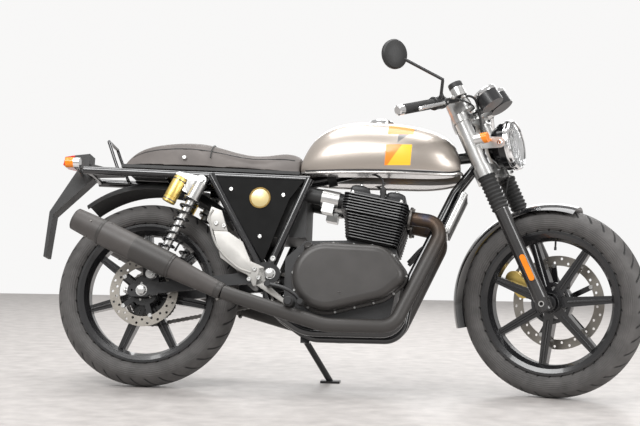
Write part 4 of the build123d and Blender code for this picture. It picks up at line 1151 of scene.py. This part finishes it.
def rounded_box(x0, x1, half, corner, steps=5):
    """A plan outline of a box with round corners."""
    points = []
    for cx, cy, start in ((x1 - corner, half - corner, 0), (x0 + corner, half - corner, 90),
                          (x0 + corner, corner - half, 180), (x1 - corner, corner - half, 270)):
        for k in range(steps + 1):
            a = radians(start + 90 * k / steps)
            points.append((cx + corner * cos(a), cy + corner * sin(a)))
    return points


def make_mufflers():
    form, end = bmesh.new(), MUFFLER_LENGTH
    for side in (-1, 1):
        foot, tail = mirrored(MUFFLER_FOOT, side), mirrored(MUFFLER_TAIL, side)
        lathe(form, aimed(foot, tail - foot), [
            (0, 0.5), (27, 0.5), (38.5, 190), (41, 194), (44, 330), (44, end - 102), (42.6, end - 98),
            (38, end - 3), (36, end), (29, end), (27, end - 2), (27, end - 60), (0, end - 60)], 64)
    piece("muffler_cans", form, BIKE, "exhaust_black", "muffler_black", ("mufflers",))


def make_mirrors():
    form, backs, glass = bmesh.new(), bmesh.new(), bmesh.new()
    root = BAR_ROOT.lerp(BAR_END, 0.41) + Vector((10, 0, 6))
    for side, bend, tip in MIRRORS:
        start, bend, tip = (mirrored(p, side) for p in (root, bend, tip))
        hose(form, [start, bend.lerp(start, 0.07), bend, bend.lerp(tip, 0.07), tip], 5.4, 14)
        clamp = aimed(start - Vector((0, 0, 4)), bend - start)
        lathe(form, clamp, [(9, 0), (10, 4), (10, 16), (7, 22), (5, 26)], 20)
        head = at(*tip) @ turned(-66) @ Matrix.Rotation(radians(34 * side), 4, "X")
        lathe(backs, head, [
            (45.5, 9), (46.5, 10.4), (49, 9.6), (50, 6), (50, -2), (46, -8), (34, -13), (16, -15.5), (0, -16),
        ], 48, 0.94)
        lathe(glass, head, [(0, 9.6), (45.6, 9.2)], 48, 0.94)
    piece("mirror_stalks", form, FORK, "satin_black", stands_for=("mirrors",))
    piece("mirror_backs", backs, FORK, "satin_black", "black_plastic")
    piece("mirror_glass", glass, FORK, "satin_black", "mirror_glass")


def chain_points():
    """Pin places round the chain as complex numbers x + iz, evenly spaced along its pitch line."""
    rear, front, small = complex(0, REAR_RADIUS), complex(*CHAIN_FRONT[:2]), CHAIN_FRONT[2]
    step = CHAIN_REAR - small
    run = sqrt(abs(front - rear)**2 - step**2)
    wrap = atan2(step, run)
    slope = phase(front - rear)
    top, low = slope + pi / 2 - wrap, slope - pi / 2 + wrap
    front_arc, rear_arc = (pi - 2 * wrap) * small, (pi + 2 * wrap) * CHAIN_REAR
    total = 2 * run + front_arc + rear_arc
    count = 2 * round(total / CHAIN_PITCH / 2)
    for i in range(count):
        s = total * i / count
        if s < run:
            yield rear + rect(CHAIN_REAR, top) + rect(s, top - pi / 2)
        elif s < run + front_arc:
            yield front + rect(small, top - (s - run) / small)
        elif s < 2 * run + front_arc:
            yield front + rect(small, low) + rect(s - run - front_arc, low - pi / 2)
        else:
            yield rear + rect(CHAIN_REAR, low - (s - 2 * run - front_arc) / CHAIN_REAR)


def make_chain():
    form = bmesh.new()
    pins = list(chain_points())
    for i, (a, b) in enumerate(zip(pins, pins[1:] + pins[:1])):
        along = phase(b - a)
        outline = []
        for centre, start, waist in ((b, -90, 4.6), (a, 90, -4.6)):
            outline += [centre + rect(6.4, along + radians(start + 30 * k)) for k in range(7)]
            outline.append((a + b) / 2 + rect(waist, along + pi / 2))
        inner, outer = (6.2, 8.4) if i % 2 else (3.7, 5.9)
        for side in (-1, 1):
            depths = sorted((CHAIN_Y + side * inner, CHAIN_Y + side * outer))
            prism(form, SIDE_ON, [(p.real, p.imag) for p in outline], *depths)
        turn(form, (a.real, CHAIN_Y - 9, a.imag), (0, 1, 0), [
            (0, 0), (2.6, 0), (2.6, 5.2), (5, 5.2), (5, 12.8), (2.6, 12.8), (2.6, 18), (0, 18)], 8)
    piece("chain_links", form, BIKE, "chain_steel", stands_for=("drive_chain",))
    form = bmesh.new()
    steps = SPROCKET_TEETH * 4
    outline = [rect((84.5, 86, 88.6, 86)[i % 4], 2 * pi * i / steps) for i in range(steps)]
    prism(form, SIDE_ON, [(p.real, p.imag) for p in outline], CHAIN_Y - 2.6, CHAIN_Y + 2.6)
    for i in range(5):
        spot = rect(52, 2 * pi * (i + 0.5) / 5)
        hex_bolt(form, (spot.real, CHAIN_Y + 3, spot.imag), (0, 1, 0), 7, 5)
    piece("sprocket_teeth", form, REAR_AXLE, "chain_steel", body="rear_wheel")


def make_shock_castings():
    form, gold = bmesh.new(), bmesh.new()
    top = SHOCK_LENGTH - 70
    outline = [(0, top + 4), (12, top + 8), (18, SHOCK_LENGTH - 4), (0, SHOCK_LENGTH + 12), (-84, 356.5),
               (-94, 348), (-90, 341), (-46, 341), (-42, top + 22), (-16, top + 4)]
    for side in (-1, 1):
        place = shock_place(side)
        prism(form, place @ SIDE_ON, outline, -10, 10, 3)
        lathe(gold, place @ at(RESERVOIR_X, 0, 0), [
            (0, 244.5), (21, 244.5), (24, 247.5), (24, 262), (22.6, 263.5), (22.6, 266), (24, 267.5),
            (24, 337), (22, 340.5), (0, 340.5)], 40)
    piece("shock_castings", form, BIKE, "bright_alloy")
    piece("gold_reservoirs", gold, BIKE, "gold", stands_for=("shock_reservoirs",))


def make_cylinder_forms():
    fins = bmesh.new()
    for i in range(BLOCK_FINS):
        share = (i + 0.5) / BLOCK_FINS
        outline = rounded_box(-75 - 25 * share, 106 + 7 * share, 142, 20)
        middle = (i + 0.5) * FIN_PITCH
        prism(fins, HERE, outline, middle - FIN_THICKNESS / 2, middle + FIN_THICKNESS / 2, 0.7, 1)
    prism(fins, HERE, rounded_box(-56, 84, 118, 18), 0, BLOCK_FINS * FIN_PITCH)
    prism(fins, HERE, rounded_box(-72, 88, 100, 10), -16, 3)
    piece("cylinder_fins", fins, CYLINDERS, "engine_black", "cylinder_block", ("cylinder_block",))
    form, base = bmesh.new(), HEAD_TOP
    prism(form, HERE, rounded_box(-95, 95, 118, 16), base, base + 14, 3)
    for x0, x1 in ((-95, -30), (30, 95)):
        outline = [(x0, base + 6), (x0, base + 24)]
        for k in range(1, 7):
            a = pi * k / 7
            outline.append(((x0 + x1) / 2 - (x1 - x0) / 2 * cos(a), base + 24 + 12 * sin(a)))
        prism(form, SIDE_ON, outline + [(x1, base + 24), (x1, base + 6)], -118, 118, 9)
    piece("cam_cover_lobes", form, CYLINDERS, "engine_black", stands_for=("cam_cover",))


def make_cooler():
    core = bmesh.new()
    for i in range(17):
        height = -72 + 9 * i
        prism(core, HERE, rounded_box(-15, 15, 63, 3, 2), height - 1.6, height + 1.6, 0.5, 1)
    prism(core, HERE, rounded_box(-12, 12, 62, 3, 2), -74, 74)
    piece("cooler_core", core, COOLER, "engine_black", stands_for=("oil_cooler",))


def make_cover_lips():
    form = bmesh.new()
    for circles, side in ((RIGHT_COVER, -1), (LEFT_COVER, 1)):
        line = hull_line(circles, -9, 120)
        steps = (spot - before for before, spot in zip([line[-1], *line], line))
        clean = [tuple(spot) for spot, step in zip(line, steps) if abs(step.x) + abs(step.y) > 0.05]
        plate(form, clean, side, 103, COVER_FLANGE, 3)
    piece("cover_lips", form, BIKE, "cover_grey")


def make_hangers():
    form, steel = bmesh.new(), bmesh.new()
    upper = [(236, 607), (273, 593), (297, 521), (247, 523), (222, 560)]
    lower = [(247, 523), (297, 521), (350, 486), (380, 420), (427, 400), (436, 346), (393, 334), (372, 372),
             (330, 392), (276, 430)]
    arm = [(408, 398), (427, 400), (436, 346), (540, 262), (524, 262), (400, 340)]
    rim = ((244, 596), (232, 562), (262, 470), (330, 402), (382, 380))
    pedal = ((446, 339), (500, 326), (540, 304), (562, 278))
    for side in (-1, 1):
        for outline in (upper, lower, arm):
            plate(form, outline, side, 140.3, HANGER_OUT, 2)
        bent(form, [(x, side * HANGER_OUT, z) for x, z in rim], 4, 8, 5)
        hose(steel, [(524, side * 146, 276), (524, side * 236, 276)], 12, 18)
        bent(steel, [(x, side * 183, z) for x, z in pedal], 6.5, 12, 5)
        turn(steel, (446, side * 149, 339), (0, side, 0), [(0, -2), (11, -2), (11, 38), (9, 41), (0, 41)], 24)
        hose(steel, [(562, side * 177, 277), (562, side * 222, 277)], 8.5, 16)
    piece("hanger_plates", form, BIKE, "bright_alloy", "cast_alloy", ("foot_hangers",))
    piece("pegs_and_levers", steel, BIKE, "satin_black", stands_for=("pegs_and_pedals",))


def make_tank_lip():
    """The rolled seam along the bottom of the tank, bright, under a dark line."""
    lip, line = bmesh.new(), bmesh.new()
    for side in (-1, 1):
        bent(lip, [(x, side * (half + 3), z + 1) for x, z, half in TANK_EDGE], 5)
        bent(line, [(x, side * (half + 6.5), z + 8) for x, z, half in TANK_EDGE[:-1]], 2.4, 8)
    piece("tank_lip", lip, BIKE, "tank_silver", "bright_lip")
    piece("tank_seam", line, BIKE, "tank_silver", "satin_black")


WHEEL_RIB = ((58, 22.5), (130, 20.25), (206, 16))


def make_wheel_ribs():
    for name, place, first in (("front", FORK, -21.0), ("rear", REAR_AXLE, 144.4)):
        form = bmesh.new()
        for i in range(7):
            a = radians(first + i * 360 / 7)
            for face in (-1, 1):
                hose(form, [(r * cos(a), face * y, r * sin(a)) for r, y in WHEEL_RIB], 4.6, 10)
        for face in (-1, 1):
            turn(form, (0, 0, 0), (0, face, 0), [(56, 0), (57, 18), (59, 20), (68, 20), (70, 18), (71, 0)], 56)
        piece(name + "_wheel_ribs", form, place, "satin_black", "front_wheel_casting", body=name + "_wheel")


# Studio

FLOOR_HALF = 14
FLOOR_FRONT = -12
FLOOR_BACK = 5.2
FLOOR = (0.47, 0.445, 0.43)
WALL = (0.94, 0.935, 0.93)
LIT_MIDDLE = (0, -0.1, 0.55)


def make_floor():
    facing = Matrix.Rotation(CAMERA_AZIMUTH, 3, "Z")
    mesh = bpy.data.meshes.new("floor")
    corners = [facing @ Vector((x, y, 0)) for y in (FLOOR_FRONT, FLOOR_BACK) for x in (-FLOOR_HALF, FLOOR_HALF)]
    mesh.from_pydata(corners, [], [(0, 1, 3, 2)])
    floor = show("floor", mesh)
    mesh.materials.append(painted("floor", FLOOR, 0.42, grain=220.0, depth=0.0003).material)


def make_light(name, position, size, power):
    data = bpy.data.lights.new(name, "AREA")
    data.shape = "RECTANGLE"
    data.size, data.size_y = size
    data.energy = power
    light = show(name, data)
    light.location = position
    light.rotation_mode = "QUATERNION"
    light.rotation_quaternion = (Vector(LIT_MIDDLE) - Vector(position)).to_track_quat("-Z", "Y")


def make_world():
    world = bpy.data.worlds.new("world")
    bpy.context.scene.world = world
    world.use_nodes = True
    nodes, links = world.node_tree.nodes, world.node_tree.links
    background = nodes["Background"]
    background.inputs["Color"].default_value = (0.86, 0.85, 0.84, 1)
    background.inputs["Strength"].default_value = 0.70
    shown = nodes.new("ShaderNodeBackground")
    shown.inputs["Color"].default_value = (*WALL, 1)
    path = nodes.new("ShaderNodeLightPath")
    mix = nodes.new("ShaderNodeMixShader")
    links.new(path.outputs["Is Camera Ray"], mix.inputs["Fac"])
    links.new(background.outputs["Background"], mix.inputs[1])
    links.new(shown.outputs["Background"], mix.inputs[2])
    links.new(mix.outputs["Shader"], nodes["World Output"].inputs["Surface"])


def make_studio():
    make_floor()
    make_world()
    make_light("key", (-1.6, -3.4, 3.6), (3.0, 2.0), 170)
    make_light("front_strip", (3.2, -2.4, 1.8), (1.2, 2.4), 70)
    make_light("top", (0.0, 0.3, 4.2), (4.0, 2.0), 130)
    make_light("back", (0.5, 3.6, 2.6), (4.0, 2.0), 90)


make_camera()
make_studio()
dress_nodes()
make_springs()
make_shock_castings()
make_cylinder_forms()
make_cover_lips()
make_engine_details()
make_mufflers()
make_cooler()
make_mirrors()
make_chain()
make_hangers()
make_tank_lip()
make_wheel_ribs()
make_exhaust_details()
make_cooler_details()
make_bar_details()
make_yoke_details()
make_lamp_details()
make_dials()
make_cables()
make_wheel_details()
make_body_details()
make_seat_seams(make_seat())

scene = bpy.context.scene
scene.view_settings.view_transform = "Standard"
